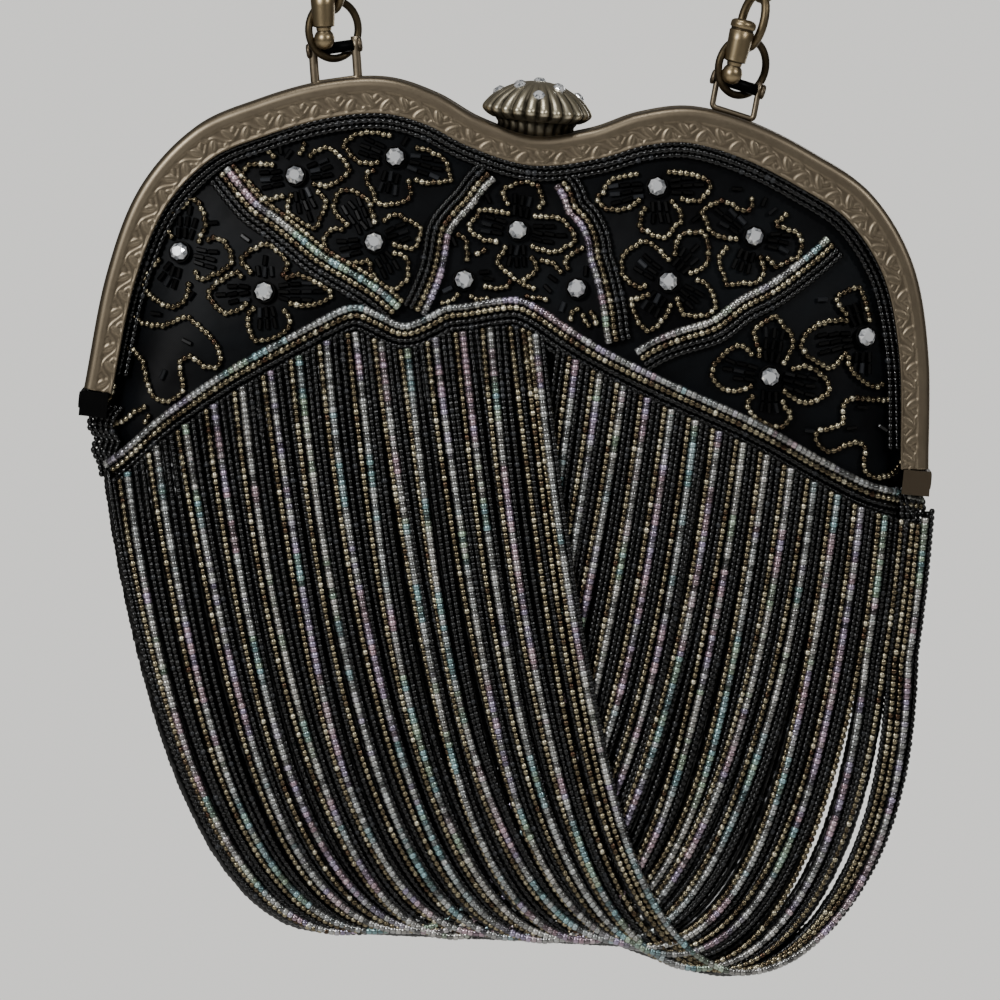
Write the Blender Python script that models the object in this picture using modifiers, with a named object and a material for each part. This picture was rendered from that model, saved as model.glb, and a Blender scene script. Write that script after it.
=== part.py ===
"""A beaded evening purse hanging by its chain handle, in metres with +Z up and its front towards -Y.

The origin is the top of the chain, where the purse hangs. The purse hangs a few degrees off level, so its
pieces are built level, in millimetres from the dip at the middle of the metal frame, under an empty that
tilts them. The chain and the bead swags hang plumb, in millimetres from the same dip.
"""

import math

import bmesh
import bpy
import numpy as np
from mathutils import Matrix, Vector

MM = 0.001
OBJECT_NAME = "beaded_flapper_purse"

# How it hangs: the dip of the frame lies this far below and to the right of the top of the chain
HANG_DROP = 150.0
HANG_ASIDE = 6.0
HANG_TILT = math.radians(5.5)

# Metal frame: half of its outer edge from the dip to the hinge, with the width of its face
FRAME_HALF = (
    # across, up, face width
    (0.0, 0.0, 6.9),
    (13.2, 2.8, 7.0),
    (24.5, 7.8, 7.6),
    (37.2, 10.4, 8.3),
    (52.0, 8.0, 8.5),
    (67.2, 2.2, 8.5),
    (82.1, -6.2, 8.3),
    (93.6, -21.8, 7.6),
    (99.6, -43.2, 7.0),
    (102.5, -70.8, 6.7),
)
FRAME_DEPTH = 9.0
FRAME_WALL = 1.0
FRAME_CORNER = 1.8
FRAME_CORNER_INSIDE = 2.2
HALVES_GAP = 0.15
LEAF_RISE = 0.45
LEAF_STATIONS = 65
PLAIN_STATIONS = 41

# Hinge caps at the two ends of the frame
HINGE_TALL = 6.0
HINGE_WALL = 1.2
HINGE_GAP = 0.6
CUT_PAST = 1.0
RIVET_RADIUS = 2.0
RIVET_RISE = 0.8
RIVET_SINK = 0.4
ROUND_SIDES = 12

# Clasp knob: half of its outline from the top down to the hidden plunger
KNOB_PROFILE = (
    # radius, height, depth of the flutes
    (2.4, 12.9, 0.0),
    (6.0, 12.0, 0.25),
    (9.8, 9.8, 0.5),
    (12.3, 7.2, 0.7),
    (13.0, 5.7, 1.1),
    (11.9, 4.9, 1.0),
    (9.0, 3.7, 0.5),
    (5.2, 2.7, 0.0),
    (2.6, 2.4, 0.0),
    (2.6, -5.0, 0.0),
)
KNOB_FLUTES = 24
PLUNGER_HOLE = 3.1
PLUNGER_HOLE_TALL = 12.0
PLUNGER_HOLE_SIDES = 16
KNOB_STONES = (
    # count, radius of the ring, height, turn of the first stone in degrees, lean in degrees
    (1, 0.0, 12.8, 0.0, 0.0),
    (4, 6.6, 11.7, 45.0, 22.0),
    (4, 9.6, 9.9, 0.0, 38.0),
)
KNOB_STONE = (1.5, 0.9, 0.9)
STONE_SINK = 0.35

# Bails on top of the frame, and the snap hooks in them
BAIL_ASIDE = 48.0
BAIL_HALF_WIDTH = 5.2
BAIL_TALL = 9.6
BAIL_WIRE = 0.85
BAIL_CORNER = 1.0
BAIL_LIFT = 0.35
PIN_HEIGHT = 7.2
PIN_RADIUS = 1.4
PIN_PAST = 0.8
HEAD_RADIUS = 2.1
HEAD_THICK = 1.2
HEAD_ASIDE = 1.15
BAIL_LEANS = {"left": math.radians(4.0), "right": math.radians(-7.0)}
HOOK_LEANS = {"left": math.radians(-2.0), "right": math.radians(13.0)}
HOOK_WIRE = 0.95
HOOK_HALF_WIDTH = 7.3
HOOK_HALF_TALL = 7.0
HOOK_TURN = math.radians(37.0)
HOOK_CLEARANCE = 0.25
BARREL_PLACE = (-2.2, -4.4)
BARREL_STEPS = 10
EYE_POINTS = 14
BARREL_PROFILE = (
    # radius, height above the pin
    (0.0, 15.6),
    (2.4, 15.4),
    (3.1, 14.4),
    (2.6, 5.4),
    (1.6, 4.6),
    (2.45, 2.4),
    (2.3, 1.0),
    (1.3, 0.0),
    (0.0, -0.3),
)

# Chain handle: a flattened arch over whatever holds it, in millimetres from its top
CHAIN_ARCH = (
    # across, up
    (-46.0, -92.0),
    (-47.0, -60.0),
    (-36.0, -20.0),
    (0.0, 0.0),
    (37.0, -17.0),
    (56.0, -55.0),
    (61.0, -92.0),
)
LINK_LENGTH = 15.6
LINK_WIDTH = 10.4
LINK_WIRE = 1.1
LINK_SOLDER = 0.9
LINK_SIDES = 8
LINK_GAP = 0.3
WIRE_SIDES = 5

# Satin pouch: the bottom edge as half a table, and its depths
POUCH_HALF_WIDTH = 101.0
POUCH_BOTTOM = (
    # across, up
    (0.0, -135.6),
    (55.0, -133.0),
    (72.0, -131.0),
    (84.0, -125.0),
    (92.0, -115.0),
    (99.6, -96.0),
    (102.0, -79.0),
)
POUCH_WALL = 1.5
POUCH_INSET = 2.8
POUCH_SEAM = 2.0
MOUTH_HALF_DEPTH = 7.0
BODY_HALF_DEPTH = 14.0
SWELL_RUN = 48.0
POUCH_COLUMNS = 20
POUCH_ROWS = 11
ROW_CROWDING = 1.15
SEAM_GAP = 0.3

# Beaded trims on the front of the pouch, as centre lines
TRIM_LIFT = 0.8
PIPING_GAP = 0.5
PIPING_WIDTH = 4.4
PIPING_THICK = 1.6
PIPING_STATIONS = 38
BAND_THICK = 1.9
RIBBON_FOOT = 0.4
BANDS = {
    "trim_band_main": {
        "width": 6.6,
        "stations": 34,
        "line": (
            # across, up
            (-94.5, -90.5),
            (-81.0, -76.0),
            (-60.0, -58.0),
            (-42.0, -45.5),
            (-33.0, -46.0),
            (-22.6, -48.5),
            (-10.0, -41.5),
            (0.8, -40.7),
            (13.6, -45.7),
            (33.0, -53.7),
            (58.4, -63.6),
            (79.0, -71.5),
            (99.0, -78.5),
        ),
    },
    "trim_band_left_outer": {
        "width": 4.8,
        "stations": 9,
        "line": ((-73.0, -16.5), (-66.3, -22.8), (-56.3, -29.0), (-46.7, -33.2), (-38.5, -37.6)),
    },
    "trim_band_left_inner": {
        "width": 4.8,
        "stations": 7,
        "line": ((-9.4, -12.6), (-13.8, -18.0), (-18.7, -25.0), (-20.4, -33.0), (-21.6, -41.6)),
    },
    "trim_band_right_inner": {
        "width": 4.8,
        "stations": 7,
        "line": ((7.4, -12.8), (11.6, -19.5), (16.1, -26.9), (19.0, -34.5), (21.4, -43.0)),
    },
    "trim_band_right_outer": {
        "width": 4.8,
        "stations": 9,
        "line": ((74.5, -19.0), (61.1, -28.8), (52.5, -34.7), (43.9, -39.9), (35.0, -46.0)),
    },
}
STONES = (
    # across, up
    (-82.0, -35.4),
    (-60.7, -43.5),
    (-56.2, -14.8),
    (-32.7, -8.4),
    (-35.8, -29.2),
    (-2.4, -22.9),
    (-13.0, -34.0),
    (12.2, -34.0),
    (30.3, -9.4),
    (34.9, -31.8),
    (54.6, -19.1),
    (61.6, -51.7),
    (83.7, -40.6),
)
STONE_PROFILE = (
    # radius, height above the satin
    (1.25, 2.9),
    (2.3, 1.9),
    (2.45, 1.7),
    (2.45, 0.6),
)
STONE_FACETS = 8

# Bead swags: strands that hang in catenaries from the main band, in millimetres from the dip, plumb
SWAG_STARTS = (-95.5, 7.0)
SWAG_ENDS = (9.7, 103.0)
SWAG_BELOW_BAND = 4.4
SWAG_BOTTOMS = (
    # share of the way across, lowest point
    (0.0, -190.8),
    (0.25, -192.0),
    (0.5, -193.2),
    (0.72, -194.5),
    (0.85, -199.5),
    (0.93, -201.8),
    (1.0, -201.4),
)
SWAG_HALF_WIDTH = 107.0
SWAG_LOCKS = 15
SWAG_ROWS = 6
SWAG_VALLEY = 0.9
SWAG_CREST = 1.7
SWAG_LIFT = 0.9
SWAG_OVER_LIFT = 3.1
OVER_RUN = (0.02, 0.455)
UNDER_RUN = (0.5, 0.985)
OVER_BLEND = (-26.0, 22.0)
HALVINGS = 50

COLOURS = {
    # red, green, blue, roughness, metallic
    "antique_pewter": (0.36, 0.32, 0.26, 0.38, 1.0),
    "antique_brass": (0.23, 0.19, 0.13, 0.35, 1.0),
    "clasp_metal": (0.42, 0.39, 0.31, 0.33, 1.0),
    "black_satin": (0.01, 0.01, 0.013, 0.45, 0.0),
    "jet_beads": (0.008, 0.008, 0.01, 0.15, 0.0),
    "pearly_beads": (0.42, 0.42, 0.45, 0.2, 0.3),
    "bronze_beads": (0.3, 0.25, 0.16, 0.25, 0.6),
    "crystal": (0.85, 0.87, 0.9, 0.08, 0.2),
}


def clear_scene():
    for old in list(bpy.data.objects):
        bpy.data.objects.remove(old, do_unlink=True)


def new_collection(name):
    made = bpy.data.collections.new(name)
    bpy.context.scene.collection.children.link(made)
    return made


def new_material(name):
    red, green, blue, roughness, metallic = COLOURS[name]
    made = bpy.data.materials.new(name)
    made.use_nodes = True
    shader = made.node_tree.nodes["Principled BSDF"]
    shader.inputs["Base Color"].default_value = (red, green, blue, 1.0)
    shader.inputs["Roughness"].default_value = roughness
    shader.inputs["Metallic"].default_value = metallic
    return made


def add_part(name, mesh, parent, material_name):
    """One named piece in the parts' collection, under its parent, with its material."""
    made = bpy.data.objects.new(name, mesh)
    parts.objects.link(made)
    made.parent = parent
    made.data.materials.append(materials[material_name])
    made.data.shade_smooth()
    made.data.set_sharp_from_angle(angle=math.radians(35))
    return made


def add_cutter(name, mesh, parent):
    made = bpy.data.objects.new(name, mesh)
    cutters.objects.link(made)
    made.parent = parent
    made.hide_render = True
    made.display_type = "WIRE"
    return made


def boolean(piece, cutter, operation):
    change = piece.modifiers.new(f"{operation.lower()}_{cutter.name}", "BOOLEAN")
    change.object = cutter
    change.operation = operation
    change.solver = "EXACT"


def closed_mesh(name, vertices, faces):
    """A mesh from arrays in millimetres, with doubles merged, faces turned out and all of them flat."""
    made = bpy.data.meshes.new(name)
    made.from_pydata((np.asarray(vertices, float) * MM).tolist(), [], faces)
    work = bmesh.new()
    work.from_mesh(made)
    bmesh.ops.remove_doubles(work, verts=work.verts, dist=1e-6)
    bmesh.ops.recalc_face_normals(work, faces=work.faces)
    bmesh.ops.triangulate(work, faces=work.faces)
    work.to_mesh(made)
    work.free()
    return made


def grid_faces(rows, columns, first=0, around=False):
    """Quads of a grid of points numbered row by row, whose last column may meet the first."""
    faces = []
    for row in range(rows - 1):
        for column in range(columns if around else columns - 1):
            beside = (column + 1) % columns
            here = first + row * columns
            above = here + columns
            faces.append((here + column, here + beside, above + beside, above + column))
    return faces


def loft(name, rings):
    """A closed body through rings of points, with both ends capped."""
    count, sides = rings.shape[:2]
    faces = grid_faces(count, sides, around=True)
    faces.append(tuple(range(sides)))
    faces.append(tuple(range((count - 1) * sides, count * sides)))
    return closed_mesh(name, rings.reshape(-1, 3), faces)


def slab(name, front, back):
    """A closed body between a front and a back grid of the same size."""
    rows, columns = front.shape[:2]
    points = rows * columns
    faces = grid_faces(rows, columns) + grid_faces(rows, columns, first=points)
    edge = list(range(columns))
    edge += [row * columns + columns - 1 for row in range(1, rows)]
    edge += [(rows - 1) * columns + column for column in range(columns - 2, -1, -1)]
    edge += [row * columns for row in range(rows - 2, 0, -1)]
    for here, beside in zip(edge, edge[1:] + edge[:1]):
        faces.append((here, beside, points + beside, points + here))
    both = np.concatenate([front.reshape(-1, 3), back.reshape(-1, 3)])
    return closed_mesh(name, both, faces)


def cylinder_mesh(name, radius, length, sides, place, turn=None):
    """A cylinder along its own Z, turned and then placed, in millimetres."""
    work = bmesh.new()
    matrix = Matrix.Translation(Vector(place)) @ (turn or Matrix.Identity(4))
    bmesh.ops.create_cone(
        work, cap_ends=True, segments=sides, radius1=radius, radius2=radius, depth=length, matrix=matrix
    )
    bmesh.ops.scale(work, vec=(MM, MM, MM), verts=work.verts)
    made = bpy.data.meshes.new(name)
    work.to_mesh(made)
    work.free()
    return made


def box_mesh(name, low, high):
    work = bmesh.new()
    bmesh.ops.create_cube(work, size=1.0)
    size = Vector(high) - Vector(low)
    bmesh.ops.scale(work, vec=size * MM, verts=work.verts)
    bmesh.ops.translate(work, vec=(Vector(low) + size / 2) * MM, verts=work.verts)
    made = bpy.data.meshes.new(name)
    work.to_mesh(made)
    work.free()
    return made


def wire_mesh(name, points, radius, closed=False, resolution=1):
    """A bevelled curve through points in millimetres, turned into a mesh with welded caps."""
    curve = bpy.data.curves.new(name, "CURVE")
    curve.dimensions = "3D"
    curve.bevel_depth = radius * MM
    curve.bevel_resolution = resolution
    curve.use_fill_caps = True
    spline = curve.splines.new("POLY")
    spline.points.add(len(points) - 1)
    for knot, point in zip(spline.points, points):
        knot.co = (*(value * MM for value in point), 1.0)
    spline.use_cyclic_u = closed
    guide = bpy.data.objects.new(name, curve)
    cutters.objects.link(guide)
    bpy.context.view_layer.update()
    seen = guide.evaluated_get(bpy.context.evaluated_depsgraph_get())
    made = bpy.data.meshes.new_from_object(seen)
    bpy.data.objects.remove(guide, do_unlink=True)
    work = bmesh.new()
    work.from_mesh(made)
    bmesh.ops.remove_doubles(work, verts=work.verts, dist=1e-6)
    bmesh.ops.recalc_face_normals(work, faces=work.faces)
    work.to_mesh(made)
    work.free()
    return made


def joined(name, meshes):
    """Separate closed meshes as one mesh."""
    work = bmesh.new()
    for mesh in meshes:
        work.from_mesh(mesh)
    made = bpy.data.meshes.new(name)
    work.to_mesh(made)
    work.free()
    return made


def smooth_path(points, count):
    """Points evenly spaced along a smooth curve through the given ones, with both ends."""
    given = np.array(points, float)
    knots = np.vstack([2 * given[0] - given[1], given, 2 * given[-1] - given[-2]])
    share = np.linspace(0, 1, 16, endpoint=False)[:, None]
    fine = []
    for before, start, stop, after in zip(knots[:-3], knots[1:-2], knots[2:-1], knots[3:]):
        straight = 2 * start + (stop - before) * share
        bend = (2 * before - 5 * start + 4 * stop - after) * share**2
        turn = (3 * start - before - 3 * stop + after) * share**3
        fine.append((straight + bend + turn) / 2)
    fine = np.vstack(fine + [given[-1:]])
    run = np.concatenate([[0.0], np.cumsum(np.linalg.norm(np.diff(fine, axis=0), axis=1))])
    wanted = np.linspace(0, run[-1], count)
    return np.column_stack([np.interp(wanted, run, column) for column in fine.T])


def directions(path):
    """Unit vectors along a path of points."""
    step = np.gradient(path, axis=0)
    return step / np.linalg.norm(step, axis=1, keepdims=True)


def frame_line(count, inset=0.0, across_face=0.0):
    """The frame's outer edge from left to right, moved inwards by inset and by a share of the face."""
    left = [(-across, up, width) for across, up, width in FRAME_HALF[:0:-1]]
    line = smooth_path(left + list(FRAME_HALF), count)
    along = directions(line[:, :2])
    inwards = np.column_stack([along[:, 1], -along[:, 0]])
    moved = line[:, :2] + inwards * (inset + across_face * line[:, 2])[:, None]
    return np.column_stack([moved, line[:, 2]]), inwards


def height_at(across, inset=0.0, across_face=0.0):
    """How high the inset edge of the frame is at a place across."""
    line, _ = frame_line(241, np.full(241, inset), np.full(241, across_face))
    order = np.argsort(line[:, 0])
    return np.interp(across, line[order, 0], line[order, 1])


def smooth_step(value):
    share = np.clip(value, 0.0, 1.0)
    return share * share * (3 - 2 * share)


def pouch_bottom(across):
    table = np.array(POUCH_BOTTOM)
    return np.interp(np.abs(across), table[:, 0], table[:, 1])


def hanging_depth(across, up, half_width):
    """Half the thickness of the purse where cloth or beads hang plumb from its widest part."""
    below_edge = height_at(across, across_face=1.0) - up
    middle = MOUTH_HALF_DEPTH + (BODY_HALF_DEPTH - MOUTH_HALF_DEPTH) * smooth_step(below_edge / SWELL_RUN)
    return middle * np.sqrt(np.clip(1 - (np.abs(across) / half_width) ** 4, 0, None))


def pouch_depth(across, up):
    """Half the thickness of the pouch: it is held flat in the frame, swells, and closes at the bottom."""
    top = height_at(across, inset=POUCH_INSET)
    share = np.clip((top - up) / (top - pouch_bottom(across)), 0, 1)
    return hanging_depth(across, up, POUCH_HALF_WIDTH) * np.sqrt(1 - share**6)


def on_pouch(across, up, lift):
    """Points on the front of the pouch, lifted off it, and the directions that face out there."""
    small = 0.5
    across = np.asarray(across, float)
    up = np.asarray(up, float)
    depth = pouch_depth(across, up)
    by_across = (pouch_depth(across + small, up) - pouch_depth(across - small, up)) / (2 * small)
    by_up = (pouch_depth(across, up + small) - pouch_depth(across, up - small)) / (2 * small)
    out = np.stack([-by_across, np.full_like(depth, -1.0), -by_up], axis=-1)
    out /= np.linalg.norm(out, axis=-1, keepdims=True)
    return np.stack([across, -depth, up], axis=-1) + out * lift, out


def ribbon(name, line, width, thick):
    """A flat strip with bevelled edges that follows the front of the pouch."""
    centres, out = on_pouch(line[:, 0], line[:, 1], TRIM_LIFT)
    side = np.cross(directions(centres), out)
    section = (
        # sideways, outwards
        (-0.5 * width + RIBBON_FOOT, 0.0),
        (-0.5 * width, 0.5 * thick),
        (-0.3 * width, thick),
        (0.3 * width, thick),
        (0.5 * width, 0.5 * thick),
        (0.5 * width - RIBBON_FOOT, 0.0),
    )
    rings = np.stack([centres + side * sideways + out * outwards for sideways, outwards in section], axis=1)
    return loft(name, rings)


def build_frame_half(name, facing, stations, leafy):
    """An L-shaped channel swept along the frame's outline, with raised leaves on the front half."""
    line, inwards = frame_line(stations)
    width = line[:, 2]
    rise = np.where(np.arange(stations) % 2 == 1, LEAF_RISE, 0.0) if leafy else np.zeros(stations)
    flat = np.zeros(stations)
    section = [
        # inwards, away from the middle plane
        (flat, HALVES_GAP + flat),
        (flat, FRAME_DEPTH - FRAME_CORNER + flat),
        (FRAME_CORNER + flat, FRAME_DEPTH + flat),
        (width, FRAME_DEPTH + flat),
        (width, FRAME_DEPTH - FRAME_WALL + flat),
        (FRAME_CORNER_INSIDE + flat, FRAME_DEPTH - FRAME_WALL + flat),
        (FRAME_WALL + flat, FRAME_DEPTH - FRAME_CORNER_INSIDE + flat),
        (FRAME_WALL + flat, HALVES_GAP + flat),
    ]
    if leafy:
        section.insert(3, (0.5 * (width + FRAME_CORNER), FRAME_DEPTH + rise))
    rings = []
    for inset, away in section:
        place = line[:, :2] + inwards * inset[:, None]
        rings.append(np.column_stack([place[:, 0], facing * away, place[:, 1]]))
    half = add_part(name, loft(name, np.stack(rings, axis=1)), purse, "antique_pewter")
    boolean(half, plunger_hole, "DIFFERENCE")


def build_hinge(name, side):
    """A cap that wraps the end of both halves, with the head of the rivet they turn on."""
    end_across, end_up, face = FRAME_HALF[-1]
    outer = end_across + HINGE_GAP
    top = end_up - HINGE_GAP
    low = (outer - face, -FRAME_DEPTH, top - HINGE_TALL)
    high = (outer, FRAME_DEPTH, top)
    inner_low = (outer - face - CUT_PAST, HINGE_WALL - FRAME_DEPTH, top - HINGE_TALL - CUT_PAST)
    inner_high = (outer - HINGE_WALL, FRAME_DEPTH - HINGE_WALL, top + CUT_PAST)
    seat = bpy.data.objects.new(f"{name}_side", None)
    parts.objects.link(seat)
    seat.parent = purse
    seat.rotation_euler = (0.0, 0.0, 0.0 if side > 0 else math.pi)
    cap = add_part(name, box_mesh(name, low, high), seat, "antique_pewter")
    inside = add_cutter(f"{name}_inside", box_mesh(f"{name}_inside", inner_low, inner_high), seat)
    boolean(cap, inside, "DIFFERENCE")
    rivet_place = (outer + (RIVET_RISE - RIVET_SINK) / 2, 0.0, top - HINGE_TALL / 2)
    sideways = Matrix.Rotation(math.radians(90), 4, "Y")
    rivet_long = RIVET_RISE + RIVET_SINK
    rivet = cylinder_mesh(f"{name}_rivet", RIVET_RADIUS, rivet_long, ROUND_SIDES, rivet_place, sideways)
    boolean(cap, add_cutter(f"{name}_rivet", rivet, seat), "UNION")


def build_knob():
    """A fluted dome with a scalloped rim on its plunger, set with nine stones."""
    columns = 2 * KNOB_FLUTES
    angle = np.arange(columns) * 2 * math.pi / columns
    groove = np.arange(columns) % 2
    rings = []
    for radius, up, flute in KNOB_PROFILE:
        reach = radius - flute * groove
        rings.append(np.column_stack([reach * np.cos(angle), reach * np.sin(angle), np.full(columns, up)]))
    knob = add_part("clasp_knob", loft("clasp_knob", np.array(rings)), purse, "clasp_metal")
    base, table, tall = KNOB_STONE
    stones = bmesh.new()
    for count, radius, up, first, lean in KNOB_STONES:
        for number in range(count):
            turn = Matrix.Rotation(math.radians(first + 360.0 * number / count), 4, "Z")
            place = Matrix.Translation((radius, 0.0, up + tall / 2 - STONE_SINK))
            tip = Matrix.Rotation(math.radians(lean), 4, "Y")
            bmesh.ops.create_cone(
                stones,
                cap_ends=True,
                segments=STONE_FACETS,
                radius1=base,
                radius2=table,
                depth=tall,
                matrix=turn @ place @ tip,
            )
    bmesh.ops.scale(stones, vec=(MM, MM, MM), verts=stones.verts)
    mesh = bpy.data.meshes.new("knob_stones")
    stones.to_mesh(mesh)
    stones.free()
    boolean(knob, add_cutter("knob_stones", mesh, purse), "UNION")


def bail_seat(side):
    """Where a bail stands on the frame and how far it turns, as a matrix in the purse's own space."""
    across = side * BAIL_ASIDE
    up = float(height_at(across))
    step = 2.0
    slope = math.atan2(float(height_at(across + step)) - float(height_at(across - step)), 2 * step)
    turn = Matrix.Rotation(-slope, 4, "Y")
    return Matrix.Translation((across, 0.0, up)) @ turn @ Matrix.Translation((0.0, 0.0, BAIL_LIFT))


def in_metres(matrix):
    place = matrix.to_translation() * MM
    return Matrix.Translation(place) @ matrix.to_3x3().to_4x4()


def build_bail(name, side, lean):
    """A wire loop standing on the frame, with a riveted pin across it."""
    seat = bpy.data.objects.new(f"{name}_seat", None)
    parts.objects.link(seat)
    seat.parent = purse
    seat.matrix_local = in_metres(bail_seat(side))
    right_half = (
        # across, up
        (BAIL_HALF_WIDTH - BAIL_CORNER, BAIL_WIRE),
        (BAIL_HALF_WIDTH, BAIL_WIRE + BAIL_CORNER),
        (BAIL_HALF_WIDTH, BAIL_TALL),
    )
    outline = [(-across, up) for across, up in right_half[::-1]] + list(right_half)
    points = [(across + math.tan(lean) * up, 0.0, up) for across, up in outline]
    bail = add_part(name, wire_mesh(name, points, BAIL_WIRE), seat, "antique_pewter")
    middle = math.tan(lean) * PIN_HEIGHT
    sideways = Matrix.Rotation(math.radians(90), 4, "Y")
    pin_long = 2 * (BAIL_HALF_WIDTH + PIN_PAST)
    pin_place = (middle, 0.0, PIN_HEIGHT)
    pin = cylinder_mesh(f"{name}_pin", PIN_RADIUS, pin_long, ROUND_SIDES, pin_place, sideways)
    boolean(bail, add_cutter(f"{name}_pin", pin, seat), "UNION")
    heads = []
    for way in (-1, 1):
        place = (middle + way * (BAIL_HALF_WIDTH + HEAD_ASIDE), 0.0, PIN_HEIGHT)
        heads.append(cylinder_mesh("head", HEAD_RADIUS, HEAD_THICK, ROUND_SIDES, place, sideways))
    boolean(bail, add_cutter(f"{name}_rivets", joined(f"{name}_rivets", heads), seat), "UNION")


def hook_matrix(side, bail_lean, hook_lean):
    """The snap hook's place: its origin is the middle of the bail's pin, in plumb millimetres from the dip."""
    pin = Vector((math.tan(bail_lean) * PIN_HEIGHT, 0.0, PIN_HEIGHT))
    tilted = Matrix.Rotation(HANG_TILT, 4, "Y") @ bail_seat(side)
    return Matrix.Translation(tilted @ pin) @ Matrix.Rotation(hook_lean, 4, "Y")


def hook_top():
    return -(PIN_RADIUS + HOOK_CLEARANCE + HOOK_WIRE) + 2 * HOOK_HALF_TALL


def build_hook(name, matrix):
    """A closed wire eye round the pin, with the tapered barrel and ball of its swivel in front."""
    seat = bpy.data.objects.new(f"{name}_seat", None)
    parts.objects.link(seat)
    seat.parent = plumb
    seat.matrix_local = in_metres(matrix)
    middle = hook_top() - HOOK_HALF_TALL
    eye = []
    for number in range(EYE_POINTS):
        angle = 2 * math.pi * number / EYE_POINTS
        aside = -HOOK_HALF_WIDTH * math.sin(angle)
        up = middle - HOOK_HALF_TALL * math.cos(angle)
        eye.append((aside * math.cos(HOOK_TURN), aside * math.sin(HOOK_TURN), up))
    hook = add_part(name, wire_mesh(name, eye, HOOK_WIRE, closed=True), seat, "antique_brass")
    profile = bpy.data.meshes.new(f"{name}_profile")
    points = [(radius * MM, 0.0, up * MM) for radius, up in BARREL_PROFILE]
    profile.from_pydata(points, [(number, number + 1) for number in range(len(points) - 1)], [])
    barrel = add_cutter(f"{name}_barrel", profile, seat)
    barrel.location = (BARREL_PLACE[0] * MM, BARREL_PLACE[1] * MM, 0.0)
    spin = barrel.modifiers.new("turned", "SCREW")
    spin.steps = BARREL_STEPS
    spin.render_steps = BARREL_STEPS
    spin.use_merge_vertices = True
    spin.merge_threshold = 0.00001
    boolean(hook, barrel, "UNION")


def link_mesh(name, matrix):
    """One oval link of round wire, from a torus whose ring is drawn out to the link's length."""
    half_width = LINK_WIDTH / 2 - LINK_WIRE
    half_length = LINK_LENGTH / 2 - LINK_WIRE
    ring = np.arange(LINK_SIDES) * 2 * math.pi / LINK_SIDES + math.pi / 2
    wire = np.arange(WIRE_SIDES) * 2 * math.pi / WIRE_SIDES
    centre = np.column_stack([half_width * np.cos(ring), half_length * np.sin(ring)])
    outwards = np.column_stack([np.cos(ring) * half_length, np.sin(ring) * half_width])
    outwards /= np.linalg.norm(outwards, axis=1, keepdims=True)
    reach = LINK_WIRE * np.cos(wire)[None, :, None]
    plane = centre[:, None, :] + outwards[:, None, :] * reach
    aside = np.broadcast_to(LINK_WIRE * np.sin(wire), (LINK_SIDES, WIRE_SIDES))
    points = np.stack([plane[..., 0], aside, plane[..., 1]], axis=-1).reshape(-1, 3)
    closed = np.vstack([points, points[:WIRE_SIDES]])
    faces = grid_faces(LINK_SIDES + 1, WIRE_SIDES, around=True)
    made = closed_mesh(name, closed, faces)
    made.transform(in_metres(matrix))
    return made


def build_chain(left_hook, right_hook):
    """Oval links, each a quarter turn from the last, from one hook's eye over the arch to the other's."""
    from_dip = np.array([-HANG_ASIDE, HANG_DROP])
    reach = LINK_LENGTH / 2 - LINK_WIRE - (LINK_WIRE + HOOK_WIRE + LINK_GAP)
    ends = []
    for hook in (left_hook, right_hook):
        eye = hook @ Vector((0.0, 0.0, hook_top() + reach))
        higher = hook @ Vector((0.0, 0.0, hook_top() + reach + LINK_LENGTH))
        ends.append(((eye.x, eye.z), (higher.x, higher.z)))
    arch = [tuple(from_dip + np.array(point)) for point in CHAIN_ARCH]
    route = [ends[0][0], ends[0][1], *arch, ends[1][1], ends[1][0]]
    fine = smooth_path(route, 400)
    length = np.linalg.norm(np.diff(fine, axis=0), axis=1).sum()
    pitch = LINK_LENGTH - 4 * LINK_WIRE + LINK_SOLDER
    count = int(round(length / pitch)) + 1
    count += 1 - count % 2
    centres = smooth_path(route, count)
    along = directions(centres)
    first_roll = math.pi / 2 - HOOK_TURN
    last_roll = first_roll + math.pi - 2 * first_roll
    meshes = []
    for number, (centre, way) in enumerate(zip(centres, along)):
        roll = first_roll + (last_roll - first_roll) * number / (count - 1) + math.pi / 2 * (number % 2)
        up = Vector((way[0], 0.0, way[1]))
        back = Vector((0.0, 1.0, 0.0))
        side = back.cross(up)
        turn = Matrix((side, back, up)).transposed().to_4x4()
        place = Matrix.Translation((centre[0], 0.0, centre[1])) @ turn @ Matrix.Rotation(-roll, 4, "Z")
        meshes.append(link_mesh(f"link_{number}", place))
    chain = add_part("chain", joined("chain", meshes[::2]), plumb, "antique_brass")
    boolean(chain, add_cutter("other_links", joined("other_links", meshes[1::2]), plumb), "UNION")
    return count, length / (count - 1)


def pouch_panel(half_width, raised, wall):
    """A grid over one satin panel from its mouth down, as places across, away from the middle and up."""
    share = np.sin(np.linspace(-1, 1, POUCH_COLUMNS + 1) * math.pi / 2)
    top = height_at(half_width * share, inset=POUCH_INSET)
    bottom = pouch_bottom(POUCH_HALF_WIDTH * share) + raised
    down = np.linspace(0, 1, POUCH_ROWS + 1)[:, None] ** ROW_CROWDING
    up = top + (bottom - top) * down
    across = np.broadcast_to(half_width * share, up.shape)
    away = np.maximum(pouch_depth(across, up) - wall, SEAM_GAP / 2)
    away[-1] = SEAM_GAP / 2
    away[:, [0, -1]] = SEAM_GAP / 2
    return np.stack([across, away, up], axis=-1)


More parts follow.
